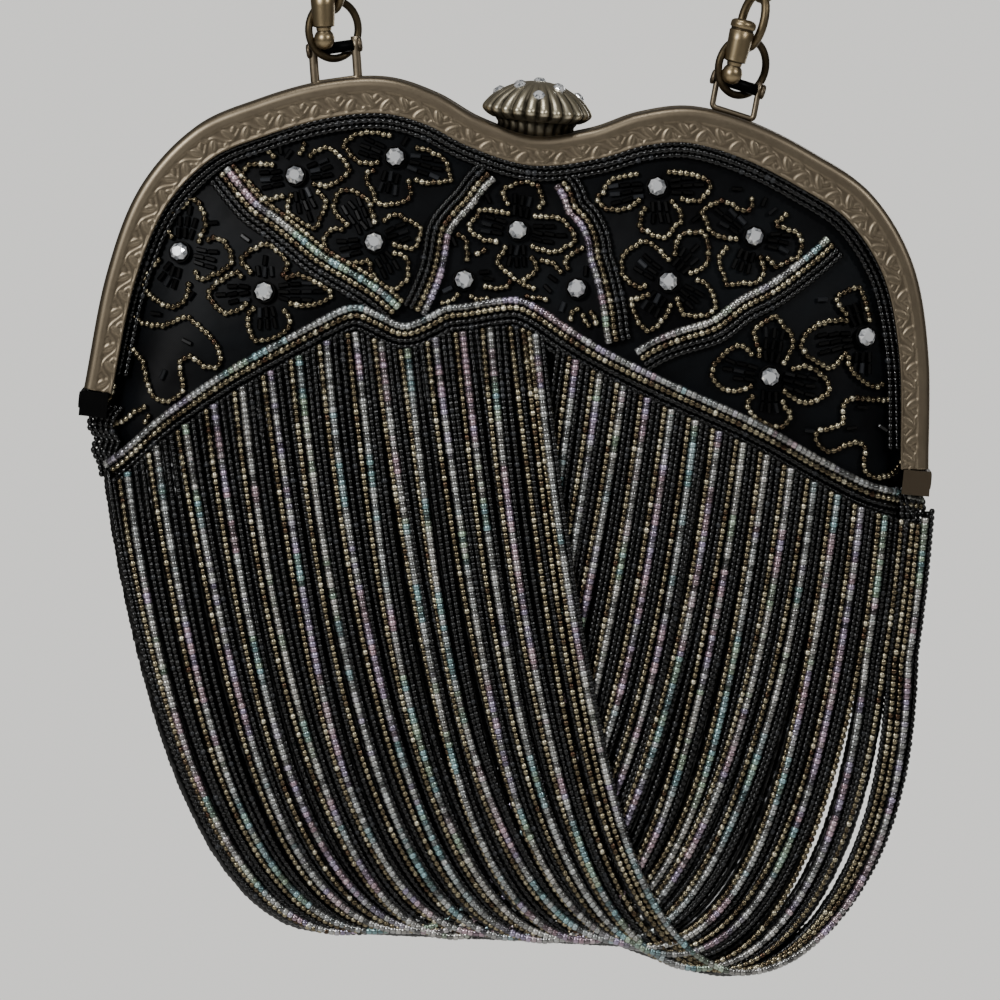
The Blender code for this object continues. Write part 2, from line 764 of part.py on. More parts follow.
def build_pouch():
    """Two satin panels sewn together at the sides and the bottom, and open at the mouth inside the frame."""
    outside = pouch_panel(POUCH_HALF_WIDTH, 0.0, 0.0)
    inside = pouch_panel(POUCH_HALF_WIDTH - POUCH_SEAM, POUCH_SEAM, POUCH_WALL)
    for name, facing in (("pouch_front", -1.0), ("pouch_back", 1.0)):
        turned = np.array([1.0, facing, 1.0])
        add_part(name, slab(name, outside * turned, inside * turned), purse, "black_satin")


def build_trims():
    """The bead piping along the frame and the five raised bead bands."""
    inset = np.full(PIPING_STATIONS, PIPING_GAP + PIPING_WIDTH / 2)
    line, _ = frame_line(PIPING_STATIONS, inset, np.ones(PIPING_STATIONS))
    piping = ribbon("edge_piping", line[1:-1, :2], PIPING_WIDTH, PIPING_THICK)
    add_part("edge_piping", piping, purse, "jet_beads")
    for name, band in BANDS.items():
        line = smooth_path(band["line"], band["stations"])
        add_part(name, ribbon(name, line, band["width"], BAND_THICK), purse, "pearly_beads")


def build_stones():
    """Cut stones with a table and eight crown facets, each in its round cup."""
    angle = np.arange(STONE_FACETS) * 2 * math.pi / STONE_FACETS
    circle = np.column_stack([np.cos(angle), np.sin(angle)])
    for number, (across, up) in enumerate(STONES, start=1):
        place, out = on_pouch(np.array([across]), np.array([up]), 0.0)
        side = np.cross(out[0], [0.0, 0.0, 1.0])
        side /= np.linalg.norm(side)
        other = np.cross(out[0], side)
        rings = []
        for radius, height in STONE_PROFILE:
            round_it = circle @ np.array([side, other]) * radius
            rings.append(place[0] + out[0] * height + round_it)
        name = f"rhinestone_{number:02d}"
        add_part(name, loft(name, np.array(rings)), purse, "crystal")


def tilted(points):
    """Points level with the purse, as places plumb with the row: x and z only."""
    cosine, sine = math.cos(HANG_TILT), math.sin(HANG_TILT)
    return np.stack(
        [points[..., 0] * cosine + points[..., 1] * sine, points[..., 1] * cosine - points[..., 0] * sine],
        axis=-1,
    )


def level(points):
    """The other way: plumb places as the purse's own x and z."""
    cosine, sine = math.cos(HANG_TILT), math.sin(HANG_TILT)
    return np.stack(
        [points[..., 0] * cosine - points[..., 1] * sine, points[..., 1] * cosine + points[..., 0] * sine],
        axis=-1,
    )


def band_height(across):
    table = np.array(BANDS["trim_band_main"]["line"])
    return np.interp(across, table[:, 0], table[:, 1])


def swag(share, run):
    """Where a strand hangs: share is its place across the swag, run goes from 0 at its start through 0.5 at
    its lowest point to 1 at its end. Each strand is the catenary between its two ends that reaches its own
    lowest point."""
    start_across = SWAG_STARTS[0] + (SWAG_STARTS[1] - SWAG_STARTS[0]) * share
    end_across = SWAG_ENDS[0] + (SWAG_ENDS[1] - SWAG_ENDS[0]) * share
    start = tilted(np.stack([start_across, band_height(start_across) - SWAG_BELOW_BAND], axis=-1))
    end = tilted(np.stack([end_across, band_height(end_across) - SWAG_BELOW_BAND], axis=-1))
    table = np.array(SWAG_BOTTOMS)
    bottom = np.interp(share, table[:, 0], table[:, 1])
    start_drop = start[..., 1] - bottom
    end_drop = end[..., 1] - bottom
    span = end[..., 0] - start[..., 0]
    low, high = np.full_like(span, 1.0), np.full_like(span, 300.0)
    for _ in range(HALVINGS):
        size = (low + high) / 2
        wide = size * (np.arccosh(1 + start_drop / size) + np.arccosh(1 + end_drop / size))
        low = np.where(wide < span, size, low)
        high = np.where(wide < span, high, size)
    down = size * np.arccosh(1 + start_drop / size)
    rise = size * np.arccosh(1 + end_drop / size)
    lowest = start[..., 0] + down
    along = np.where(
        run < 0.5,
        -np.sinh(down / size) * (1 - 2 * run),
        np.sinh(rise / size) * (2 * run - 1),
    )
    across = lowest + size * np.arcsinh(along)
    up = bottom + size * (np.sqrt(1 + along**2) - 1)
    return np.stack([across, up], axis=-1)


def build_swag(name, first_and_last_run, over):
    """Half of the strands' way as a ribbed sheet of bead locks, in front of the satin."""
    columns = 2 * SWAG_LOCKS + 1
    share = np.linspace(0, 1, columns)[None, :]
    run = np.linspace(*first_and_last_run, SWAG_ROWS + 1)[:, None]
    share, run = np.broadcast_arrays(share, run)
    places = swag(share, run)
    own = level(places)
    depth = hanging_depth(own[..., 0], own[..., 1], SWAG_HALF_WIDTH)
    lift = np.full(depth.shape, SWAG_LIFT)
    if over:
        first_rise = swag(np.zeros(40), np.linspace(0.5, 1, 40))
        limb = np.interp(places[..., 1], first_rise[:, 1], first_rise[:, 0])
        near = smooth_step((places[..., 0] - limb - OVER_BLEND[0]) / OVER_BLEND[1])
        lift = SWAG_LIFT + (SWAG_OVER_LIFT - SWAG_LIFT) * near
    thick = np.where(np.arange(columns) % 2 == 1, SWAG_CREST, SWAG_VALLEY)[None, :]
    back = np.stack([places[..., 0], -(depth + lift), places[..., 1]], axis=-1)
    front = np.stack([places[..., 0], -(depth + lift + thick), places[..., 1]], axis=-1)
    add_part(name, slab(name, front, back), plumb, "bronze_beads")


clear_scene()
parts = new_collection(OBJECT_NAME)
cutters = new_collection("cutters")
cutters.hide_render = True
materials = {name: new_material(name) for name in COLOURS}

plumb = bpy.data.objects.new("plumb", None)
plumb.location = (HANG_ASIDE * MM, 0.0, -HANG_DROP * MM)
parts.objects.link(plumb)
purse = bpy.data.objects.new("purse", None)
purse.parent = plumb
purse.rotation_euler = (0.0, HANG_TILT, 0.0)
parts.objects.link(purse)

plunger_way = cylinder_mesh("plunger_hole", PLUNGER_HOLE, PLUNGER_HOLE_TALL, PLUNGER_HOLE_SIDES, (0, 0, 0))
plunger_hole = add_cutter("plunger_hole", plunger_way, purse)
build_frame_half("frame_front", -1, LEAF_STATIONS, leafy=True)
build_frame_half("frame_back", 1, PLAIN_STATIONS, leafy=False)
build_hinge("hinge_left", -1)
build_hinge("hinge_right", 1)
build_knob()
hooks = {}
for side_name, side in (("left", -1), ("right", 1)):
    bail_lean = BAIL_LEANS[side_name]
    build_bail(f"bail_{side_name}", side, bail_lean)
    hooks[side_name] = hook_matrix(side, bail_lean, HOOK_LEANS[side_name])
    build_hook(f"snap_hook_{side_name}", hooks[side_name])
links, link_pitch = build_chain(hooks["left"], hooks["right"])
build_pouch()
build_trims()
build_stones()
build_swag("swag_under", UNDER_RUN, over=False)
build_swag("swag_over", OVER_RUN, over=True)
print(f"{links} links, {link_pitch:.2f} mm apart")
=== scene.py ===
# %% [markdown]
# # A beaded evening purse
# This lesson dresses the solid model of a small evening purse: a shaped metal frame with a push clasp, a
# black satin pouch, bead flowers with cut stones on its front, and bead strands that hang in swags.
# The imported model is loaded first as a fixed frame, and every new piece is made in its space.

# %% Load the frame
import math

import bpy
import numpy as np
from mathutils import Matrix, Vector


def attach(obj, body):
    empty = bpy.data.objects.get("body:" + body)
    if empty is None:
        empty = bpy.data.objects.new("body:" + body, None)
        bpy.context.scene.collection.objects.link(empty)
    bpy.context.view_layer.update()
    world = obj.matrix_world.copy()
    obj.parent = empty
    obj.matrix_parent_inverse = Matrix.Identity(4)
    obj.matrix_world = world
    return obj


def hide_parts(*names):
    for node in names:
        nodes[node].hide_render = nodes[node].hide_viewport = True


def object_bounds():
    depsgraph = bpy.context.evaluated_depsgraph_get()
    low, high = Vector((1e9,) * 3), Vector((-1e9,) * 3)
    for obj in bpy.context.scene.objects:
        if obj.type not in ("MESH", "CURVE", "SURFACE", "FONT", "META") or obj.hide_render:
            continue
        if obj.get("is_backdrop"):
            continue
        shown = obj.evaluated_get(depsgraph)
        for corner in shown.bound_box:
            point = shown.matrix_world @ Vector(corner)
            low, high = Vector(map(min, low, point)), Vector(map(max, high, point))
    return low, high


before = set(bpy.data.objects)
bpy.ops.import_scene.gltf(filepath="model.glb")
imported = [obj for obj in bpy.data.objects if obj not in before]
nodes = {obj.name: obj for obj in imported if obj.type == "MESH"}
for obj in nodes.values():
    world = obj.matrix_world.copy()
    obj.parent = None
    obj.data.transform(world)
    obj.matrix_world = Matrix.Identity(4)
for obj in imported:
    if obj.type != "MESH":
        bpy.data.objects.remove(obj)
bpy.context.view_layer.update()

# %% [markdown]
# ## Where the purse hangs
# The real purse hangs by its chain, and because its beads weigh more on one side it hangs a few degrees off
# level. Two spaces could be mixed up here, so both are named: level points belong to the stiff pieces, and
# plumb points belong to the chain and the strands, which gravity pulls straight down. Both are in
# millimetres from the dip in the middle of the metal frame, and one function takes either to the row frame.

# %% Places and sizes
MM = 0.001
HANG_DROP = 150.0
HANG_ASIDE = 6.0
HANG_TILT = math.radians(5.5)
FRONT = np.array([0.0, -1.0, 0.0])


def plumb_from_level(points):
    """Points turned by the hanging angle about the dip: x and z mix by its sine and cosine, y stays."""
    cosine, sine = math.cos(HANG_TILT), math.sin(HANG_TILT)
    across, away, up = np.moveaxis(np.asarray(points, float), -1, 0)
    return np.stack([across * cosine + up * sine, away, up * cosine - across * sine], axis=-1)


def level_from_plumb(across, up):
    """The other way, for x and z alone."""
    cosine, sine = math.cos(HANG_TILT), math.sin(HANG_TILT)
    return across * cosine - up * sine, up * cosine + across * sine


def to_row(points, level):
    """Points in millimetres from the dip as metres in the row frame, whose origin is the top of the chain."""
    plumb = plumb_from_level(points) if level else np.asarray(points, float)
    return plumb * MM + np.array([HANG_ASIDE, 0.0, -HANG_DROP]) * MM


print("the dip is at", to_row(np.zeros(3), True).round(3).tolist())

# %% [markdown]
# ## Turning number grids into pieces
# Every shape in this lesson is a grid of points: rows along something, columns across or around it. Modelling
# each piece by hand would be slow and hard to change, so one function numbers the faces of a grid and one
# puts points, faces and per-point values into a mesh. The sign of the volume shows whether the faces point
# outwards, and if they don't, every face is turned over.

# %% Grids and meshes


def quads(rows, columns, around=False, loop=False, first=0):
    """Faces of a grid numbered row by row. Around joins the last column to the first, loop the last row."""
    row = np.arange(rows if loop else rows - 1)[:, None]
    column = np.arange(columns if around else columns - 1)[None, :]
    row_after, column_after = (row + 1) % rows, (column + 1) % columns
    corners = (
        row * columns + column,
        row * columns + column_after,
        row_after * columns + column_after,
        row_after * columns + column,
    )
    return first + np.stack(corners, axis=-1).reshape(-1, 4)


def six_volumes(points, faces):
    """Six times the volume that faces of any number of corners close, split from their first corner."""
    start, total = points[faces[:, 0]], 0.0
    for corner in range(1, faces.shape[1] - 1):
        here, after = points[faces[:, corner]], points[faces[:, corner + 1]]
        total += np.einsum("ij,ij->i", start, np.cross(here, after)).sum()
    return total


def new_mesh(name, points, groups, values):
    """A mesh from points, arrays of faces with their own number of corners, and numbers for each point."""
    centred = points - points.mean(axis=0)
    if sum(six_volumes(centred, group) for group in groups) < 0:
        groups = [group[:, ::-1] for group in groups]
    corners = np.concatenate([group.ravel() for group in groups])
    sizes = np.concatenate([np.full(len(group), group.shape[1]) for group in groups])
    mesh = bpy.data.meshes.new(name)
    mesh.vertices.add(len(points))
    mesh.vertices.foreach_set("co", np.ascontiguousarray(points, np.float32).ravel())
    mesh.loops.add(len(corners))
    mesh.loops.foreach_set("vertex_index", corners.astype(np.int32))
    mesh.polygons.add(len(sizes))
    mesh.polygons.foreach_set("loop_start", np.append(0, np.cumsum(sizes)[:-1]).astype(np.int32))
    mesh.update(calc_edges=True)
    for key, numbers in values.items():
        stored = mesh.attributes.new(key, "FLOAT", "POINT")
        stored.data.foreach_set("value", np.ascontiguousarray(numbers, np.float32).ravel())
    return mesh


def add_piece(
    name, points, groups, material, slot, level=True, replaces=(), smooth=True, body="purse", **values
):
    """One finished piece: its mesh in the row frame, its material, and the body and nodes it goes with."""
    mesh = new_mesh(name, to_row(points, level), groups, values)
    mesh.materials.append(material)
    mesh.polygons.foreach_set("use_smooth", np.full(len(mesh.polygons), smooth))
    piece = bpy.data.objects.new(name, mesh)
    bpy.context.scene.collection.objects.link(piece)
    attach(piece, body)
    if replaces:
        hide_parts(*replaces)
    triangles = sum(len(group) * (group.shape[1] - 2) for group in groups)
    print(name, len(points), "points,", triangles, "triangles")
    return piece


class Heap:
    """Points, faces and values of many grids that will be one mesh."""

    def __init__(self):
        self.points, self.groups, self.values, self.count = [], {}, {}, 0

    def add(self, points, *groups, **values):
        """One more grid: its faces are numbered on from the points so far, and a value is one or an array."""
        points = points.reshape(-1, 3)
        for group in groups:
            self.groups.setdefault(group.shape[1], []).append(group + self.count)
        for key, numbers in values.items():
            self.values.setdefault(key, []).append(np.broadcast_to(numbers, len(points)))
        self.points.append(points)
        self.count += len(points)

    def piece(self, name, material, slot, **options):
        """All that was added, end to end, as one piece."""
        joined = {key: np.concatenate(numbers) for key, numbers in self.values.items()}
        groups = [np.concatenate(same) for same in self.groups.values()]
        return add_piece(name, np.concatenate(self.points), groups, material, slot, **options, **joined)


# %% [markdown]
# ## Paths, tubes and turned shapes
# Wires, strands and rails are all a profile carried along a path. A smooth path passes through a few named
# points, and it is measured so that things can be spaced evenly on it. The rings of a tube are square to the
# path, which needs a second direction that the path never follows: for nearly everything here, that is the
# direction out of the purse's front.

# %% Paths and tubes


def unit(vectors):
    """Vectors divided by their own lengths."""
    return vectors / np.linalg.norm(vectors, axis=-1, keepdims=True)


def run_of(path):
    """How far along a path each of its points lies."""
    return np.append(0.0, np.cumsum(np.linalg.norm(np.diff(path, axis=0), axis=1)))


def at_distances(path, wanted):
    """Points of a path at the wanted distances along it."""
    run = run_of(path)
    return np.column_stack([np.interp(wanted, run, column) for column in path.T])


def smooth_path(points, count):
    """Evenly spaced points on the Catmull-Rom curve through the given ones: each stretch is a cubic whose
    slope at a point is half of the step between that point's neighbours."""
    given = np.array(points, float)
    knots = np.vstack([2 * given[0] - given[1], given, 2 * given[-1] - given[-2]])
    share = np.linspace(0, 1, 16, endpoint=False)[None, :, None]
    before, start, stop, after = (knots[first : len(knots) - 3 + first, None, :] for first in range(4))
    straight = 2 * start + (stop - before) * share
    bend = (2 * before - 5 * start + 4 * stop - after) * share**2
    turn = (3 * start - before - 3 * stop + after) * share**3
    fine = np.vstack([((straight + bend + turn) / 2).reshape(-1, given.shape[1]), given[-1:]])
    return at_distances(fine, np.linspace(0, run_of(fine)[-1], count))


def directions(path, loop=False):
    """Unit vectors along a path of points, from the step between each point's neighbours."""
    step = np.roll(path, -1, axis=0) - np.roll(path, 1, axis=0) if loop else np.gradient(path, axis=0)
    return unit(step)


def tube_rings(path, radius, sides, guide=FRONT, loop=False, flat=1.0):
    """Rings round a path: its direction crossed with the guide gives the sideways axis, and that crossed
    with the direction gives the other, which flat makes shorter or longer."""
    along = directions(path, loop)
    sideways = unit(np.cross(along, guide))
    other = np.cross(sideways, along) * flat
    turn = np.arange(sides) * 2 * math.pi / sides
    circle = np.cos(turn)[:, None] * sideways[:, None, :] + np.sin(turn)[:, None] * other[:, None, :]
    return path[:, None, :] + circle * np.broadcast_to(radius, len(path))[:, None, None]


def end_caps(rows, columns):
    """The first and last ring of a grid as two faces that close it."""
    first = np.arange(columns)[None, :]
    return np.vstack([first[:, ::-1], first + (rows - 1) * columns])


def closed_tube(rows, sides):
    """The faces of a tube of rings, with the two that close its ends."""
    return quads(rows, sides, around=True), end_caps(rows, sides)


def turned_rings(profile, sides, flute=None):
    """A profile of radius and height turned about Z. Flute is taken off the radius, by row and column."""
    profile = np.array(profile, float)
    turn = np.arange(sides) * 2 * math.pi / sides
    reach = profile[:, :1] - (0 if flute is None else flute)
    height = np.broadcast_to(profile[:, 1:2], (len(profile), sides))
    return np.stack([reach * np.cos(turn), reach * np.sin(turn), height], axis=-1)


def moved(points, matrix):
    """Points taken through a 4 x 4 matrix."""
    turn = np.array(matrix)
    return points @ turn[:3, :3].T + turn[:3, 3]


# %% [markdown]
# ## The outline of the metal frame
# The frame's top edge is a shallow heart: a dip under the clasp, two humps, and two arms that run down to the
# hinges. Half of it is a short table from the dip to the hinge, mirrored. Everything that follows the frame,
# such as its relief, the piping and the top of the pouch, is measured inwards from this one line.

# %% Frame outline
FRAME_HALF = (
    # across, up, width of the face
    (0.0, 0.0, 6.9),
    (13.2, 2.8, 7.0),
    (24.5, 7.8, 7.6),
    (37.2, 10.4, 8.3),
    (52.0, 8.0, 8.5),
    (67.2, 2.2, 8.5),
    (82.1, -6.2, 8.3),
    (93.6, -21.8, 7.6),
    (99.6, -43.2, 7.0),
    (102.5, -70.8, 6.7),
)


def frame_line(count, inset=0.0, share_of_face=0.0):
    """The outer edge from left to right, moved inwards by inset and by a share of the face's width. Inwards
    is the path's direction turned a quarter clockwise."""
    left = [(-across, up, width) for across, up, width in FRAME_HALF[:0:-1]]
    line = smooth_path(left + list(FRAME_HALF), count)
    along = directions(line[:, :2])
    inwards = np.column_stack([along[:, 1], -along[:, 0]])
    place = line[:, :2] + inwards * (inset + share_of_face * line[:, 2])[:, None]
    return place, line[:, 2], inwards


def height_at(across, inset=0.0, share_of_face=0.0):
    """How high the frame's edge is at a place across."""
    place, _, _ = frame_line(241, np.full(241, inset), np.full(241, share_of_face))
    order = np.argsort(place[:, 0])
    return np.interp(across, place[order, 0], place[order, 1])


print("the frame's edge is", round(run_of(frame_line(241)[0])[-1]), "mm long")

# %% [markdown]
# ## The form of the pouch
# The pouch is held flat in the frame, swells as it leaves it, and closes at a seam at the bottom. Its half
# depth is a smooth step from the mouth's depth to the body's, rounded off towards both sides by a fourth
# power. Beads sit on this surface, so a second function gives points lifted off it and the way out there.

# %% Pouch surface
POUCH_HALF_WIDTH = 101.0
POUCH_BOTTOM = (
    # across, up
    (0.0, -135.6),
    (55.0, -133.0),
    (72.0, -131.0),
    (84.0, -125.0),
    (92.0, -115.0),
    (99.6, -96.0),
    (102.0, -79.0),
)
POUCH_INSET = 2.8
MOUTH_HALF_DEPTH = 7.0
BODY_HALF_DEPTH = 14.0
SWELL_RUN = 48.0


def smooth_step(value):
    """0 below 0, 1 above 1, and three squares less two cubes between."""
    share = np.clip(value, 0.0, 1.0)
    return share * share * (3 - 2 * share)


def pouch_bottom(across):
    """The height of the bottom seam, read off its table by the distance from the middle."""
    table = np.array(POUCH_BOTTOM)
    return np.interp(np.abs(across), table[:, 0], table[:, 1])


def hanging_depth(across, up, half_width):
    """Half the thickness of the purse where cloth or beads hang plumb from its widest part."""
    below_edge = height_at(across, share_of_face=1.0) - up
    middle = MOUTH_HALF_DEPTH + (BODY_HALF_DEPTH - MOUTH_HALF_DEPTH) * smooth_step(below_edge / SWELL_RUN)
    return middle * np.sqrt(np.clip(1 - (np.abs(across) / half_width) ** 4, 0, None))


def pouch_depth(across, up):
    """The hanging depth, closed towards the bottom seam by a sixth power."""
    top = height_at(across, inset=POUCH_INSET)
    share = np.clip((top - up) / (top - pouch_bottom(across)), 0, 1)
    return hanging_depth(across, up, POUCH_HALF_WIDTH) * np.sqrt(1 - share**6)


def on_pouch(across, up, lift):
    """Points on the front of the pouch, lifted off it, and the directions that face out there, from the
    slopes of the depth across and up."""
    small = 0.5
    across, up = np.asarray(across, float), np.asarray(up, float)
    depth = pouch_depth(across, up)
    by_across = (pouch_depth(across + small, up) - pouch_depth(across - small, up)) / (2 * small)
    by_up = (pouch_depth(across, up + small) - pouch_depth(across, up - small)) / (2 * small)
    out = unit(np.stack([-by_across, np.full_like(depth, -1.0), -by_up], axis=-1))
    return np.stack([across, -depth, up], axis=-1) + out * np.asarray(lift)[..., None], out


print("the pouch is", round(2 * float(pouch_depth(0.0, -90.0))), "mm thick at its middle")

# %% [markdown]
# ## Finishes
# Three effects are shared by several materials, so each is a node group that is built once. Worn metal is
# darker and rougher in the hollows and has fine scratches; the darkening is patina in part and painted shade
# in part. Bead glass is darker in the gap between two beads, where the thread shows, and this is also painted
# shade between the beads. Cloth has a fine weave with slow wrinkles. The shader itself stays in each
# material, with the numbers that are the same all over it set on its own sockets.

# %% Node helpers


class Nodes:
    """A node tree with short calls to add a node and to join two sockets."""

    def __init__(self, tree):
        self.tree = tree

    def add(self, kind, **settings):
        """A node whose settings are properties of its own, or else values of its input sockets."""
        node = self.tree.nodes.new(kind)
        for key, value in settings.items():
            if hasattr(node, key):
                setattr(node, key, value)
            else:
                node.inputs[key.replace("_", " ")].default_value = value
        return node

    def join(self, source, target):
        """A link from an output socket to an input socket."""
        self.tree.links.new(source, target)

    def maths(self, operation, first, second=None, third=None):
        """A Math node: numbers are set on it and sockets are joined to it."""
        node = self.tree.nodes.new("ShaderNodeMath")
        node.operation = operation
        for place, value in enumerate((first, second, third)):
            if value is None:
                continue
            if isinstance(value, (int, float)):
                node.inputs[place].default_value = value
            else:
                self.join(value, node.inputs[place])
        return node.outputs[0]

    def mix(self, factor, first, second):
        """The first colour where the factor is 0, the second where it is 1, and a share of both between."""
        node = self.add("ShaderNodeMix", data_type="RGBA")
        for label, source in (("Factor_Float", factor), ("A_Color", first), ("B_Color", second)):
            self.join(source, next(socket for socket in node.inputs if socket.identifier == label))
        return next(socket for socket in node.outputs if socket.identifier == "Result_Color")

    def ramp(self, factor, stops):
        """A colour ramp through stops of place, red, green, blue."""
        node = self.tree.nodes.new("ShaderNodeValToRGB")
        elements = node.color_ramp.elements
        while len(elements) < len(stops):
            elements.new(0.5)
        for element, (place, *colour) in zip(elements, stops):
            element.position = place
            element.color = (*colour, 1.0)
        self.join(factor, node.inputs[0])
        return node.outputs[0]

    def noise(self, scale, detail, vector):
        """Soft noise of a scale and a number of finer layers, as a number about a half."""
        node = self.add("ShaderNodeTexNoise", Scale=scale, Detail=detail)
        self.join(vector, node.inputs["Vector"])
        return node.outputs["Fac"]

    def attribute(self, name):
        """A number that the piece stores at its points."""
        return self.add("ShaderNodeAttribute", attribute_name=name).outputs["Fac"]


def new_group(name, inputs, outputs):
    """A node group with named sockets, as its nodes, its input sockets and its output node."""
    tree = bpy.data.node_groups.new(name, "ShaderNodeTree")
    for label, kind, value in inputs:
        made = tree.interface.new_socket(label, in_out="INPUT", socket_type=kind)
        made.default_value = value
    for label, kind in outputs:
        tree.interface.new_socket(label, in_out="OUTPUT", socket_type=kind)
    work = Nodes(tree)
    return work, work.add("NodeGroupInput").outputs, work.add("NodeGroupOutput").inputs


def new_material(name, **settings):
    """A material with one Principled shader, the same all over until something is joined to it."""
    material = bpy.data.materials.new(name)
    material.use_nodes = True
    shader = material.node_tree.nodes["Principled BSDF"]
    for key, value in settings.items():
        label = key.replace("_", " ")
        shader.inputs[label].default_value = (*value, 1.0) if isinstance(value, tuple) else value
    return material, Nodes(material.node_tree), shader.inputs


def placed_group(work, name, **settings):
    """A shared group placed in a material, its inputs set to values or joined to sockets."""
    node = work.add("ShaderNodeGroup")
    node.node_tree = bpy.data.node_groups[name]
    for key, value in settings.items():
        socket = node.inputs[key.replace("_", " ")]
        if isinstance(value, bpy.types.NodeSocket):
            work.join(value, socket)
        else:
            socket.default_value = (*value, 1.0) if isinstance(value, tuple) else value
    return node.outputs


# %% Worn metal
COLOUR, NUMBER, VECTOR = "NodeSocketColor", "NodeSocketFloat", "NodeSocketVector"

work, given, result = new_group(
    "worn_metal",
    (("Hollow", COLOUR, (0.2, 0.2, 0.2, 1)), ("Raised", COLOUR, (0.5, 0.5, 0.5, 1)), ("Height", NUMBER, 0.5)),
    (("Colour", COLOUR), ("Roughness", NUMBER), ("Normal", VECTOR)),
)
place = work.add("ShaderNodeTexCoord").outputs["Object"]
blotches = work.noise(180.0, 4.0, place)
scratches = work.noise(2600.0, 2.0, place)
# the stored height sets the colour: low values give the first colour, patina in the hollows and painted shade
# where a piece stores low values under and inside itself
share = work.maths("ADD", given["Height"], work.maths("MULTIPLY", work.maths("SUBTRACT", blotches, 0.5), 0.5))
work.join(work.mix(share, given["Hollow"], given["Raised"]), result["Colour"])
rough = work.maths("MULTIPLY_ADD", scratches, 0.16, 0.42)
work.join(work.maths("MULTIPLY_ADD", share, -0.14, rough), result["Roughness"])
bump = work.add("ShaderNodeBump", Strength=0.12, Distance=0.00004)
work.join(scratches, bump.inputs["Height"])
work.join(bump.outputs[0], result["Normal"])

# %% Bead glass
work, given, result = new_group(
    "bead_gaps",
    (("Colour", COLOUR, (0.5, 0.5, 0.5, 1)), ("Gap colour", COLOUR, (0.02, 0.02, 0.02, 1))),
    (("Colour", COLOUR), ("Roughness", NUMBER)),
)
# painted shade: towards the gap between two beads the colour goes to the gap colour, for the thread and for
# the shade there
gap = work.maths("POWER", work.attribute("gap"), 1.3)
tint = work.attribute("tint")
work.join(work.mix(gap, given["Colour"], given["Gap colour"]), result["Colour"])
work.join(work.maths("MULTIPLY_ADD", tint, 0.16, 0.14), result["Roughness"])

# %% Cloth
work, given, result = new_group(
    "satin_weave",
    (("Thread scale", NUMBER, 1400.0), ("Wrinkle scale", NUMBER, 60.0)),
    (("Normal", VECTOR), ("Wrinkle", NUMBER)),
)
place = work.add("ShaderNodeTexCoord").outputs["Object"]
threads = work.add("ShaderNodeTexWave", bands_direction="DIAGONAL", Distortion=1.5, Detail=1.0)
work.join(place, threads.inputs["Vector"])
work.join(given["Thread scale"], threads.inputs["Scale"])
wrinkles = work.add("ShaderNodeTexNoise", Detail=3.0)
work.join(place, wrinkles.inputs["Vector"])
work.join(given["Wrinkle scale"], wrinkles.inputs["Scale"])
coarse = work.add("ShaderNodeBump", Strength=0.5, Distance=0.0012)
work.join(wrinkles.outputs["Fac"], coarse.inputs["Height"])
fine = work.add("ShaderNodeBump", Strength=0.2, Distance=0.00008)
work.join(threads.outputs["Fac"], fine.inputs["Height"])
work.join(coarse.outputs[0], fine.inputs["Normal"])
work.join(fine.outputs[0], result["Normal"])
work.join(wrinkles.outputs["Fac"], result["Wrinkle"])
print("node groups:", sorted(group.name for group in bpy.data.node_groups))

# %% [markdown]
# The metals differ only in their two colours: a warm grey pewter for the frame, a yellower and brighter one
# for the clasp, a dark brass for the chain and the hooks, and a black lacquer for pins and cups. Each reads a
# height between 0 and 1 that the piece stores at its points, so its hollows are darker than its ridges. That
# value holds patina and painted shade: insides, undersides and grooves get low values where shade falls.

# %% Metal materials


def metal(name, hollow_and_shade, raised):
    """Worn metal from its darkest to its raised colour by the stored height: low is patina and painted shade.
    """
    material, work, shader = new_material(name, Metallic=1.0)
    finish = placed_group(work, "worn_metal", Hollow=hollow_and_shade, Raised=raised, Height=work.attribute("height"))
    work.join(finish["Colour"], shader["Base Color"])
    work.join(finish["Roughness"], shader["Roughness"])
    work.join(finish["Normal"], shader["Normal"])
    return material


pewter = metal("antique_pewter", (0.09, 0.071, 0.049), (0.32, 0.264, 0.186))
# the clasp's first colour is near black, for the painted shade of the knob's grooves, underside and collar
clasp_metal = metal("clasp_metal", (0.018, 0.015, 0.010), (0.58, 0.52, 0.38))
dark_brass = metal("antique_brass", (0.045, 0.034, 0.020), (0.36, 0.28, 0.165))
black_lacquer = metal("black_lacquered_metal", (0.006, 0.006, 0.006), (0.018, 0.017, 0.016))

# %% [markdown]
# Three kinds of glass bead are used. The jet ones are black all through, and a few, picked at random, are
# painted dark grey as glints. The bronze ones have a metal coat that came out a little different on each
# bead, so each takes its own place on a ramp from olive to pale gold. The pearly ones are lined with silver
# and coated with a thin film, whose colour drifts from grey to pink, lilac and sea green over a few beads.

# %% Bead materials


def bead_glass(name, colour_of, gap_colour, **settings):
    """Colour_of puts the bead's own colour together from its tint and its slow shift along the strand."""
    material, work, shader = new_material(name, **settings)
    finish = placed_group(work, "bead_gaps", Colour=colour_of(work), Gap_colour=gap_colour)
    work.join(finish["Colour"], shader["Base Color"])
    work.join(finish["Roughness"], shader["Roughness"])
    return material


def jet_colour(work):
    """Black for most beads, and dark grey for those with the highest value, as painted glints."""
    stops = ((0.0, 0.001, 0.001, 0.0012), (0.78, 0.002, 0.002, 0.002), (1.0, 0.024, 0.026, 0.03))
    return work.ramp(work.attribute("tint"), stops)


def bronze_colour(work):
    """From brown through olive to pale gold with the bead's tint."""
    stops = (
        (0.0, 0.065, 0.034, 0.022),
        (0.2, 0.085, 0.066, 0.04),
        (0.5, 0.19, 0.16, 0.10),
        (0.8, 0.34, 0.30, 0.20),
        (1.0, 0.68, 0.63, 0.48),
    )
    return work.ramp(work.attribute("tint"), stops)


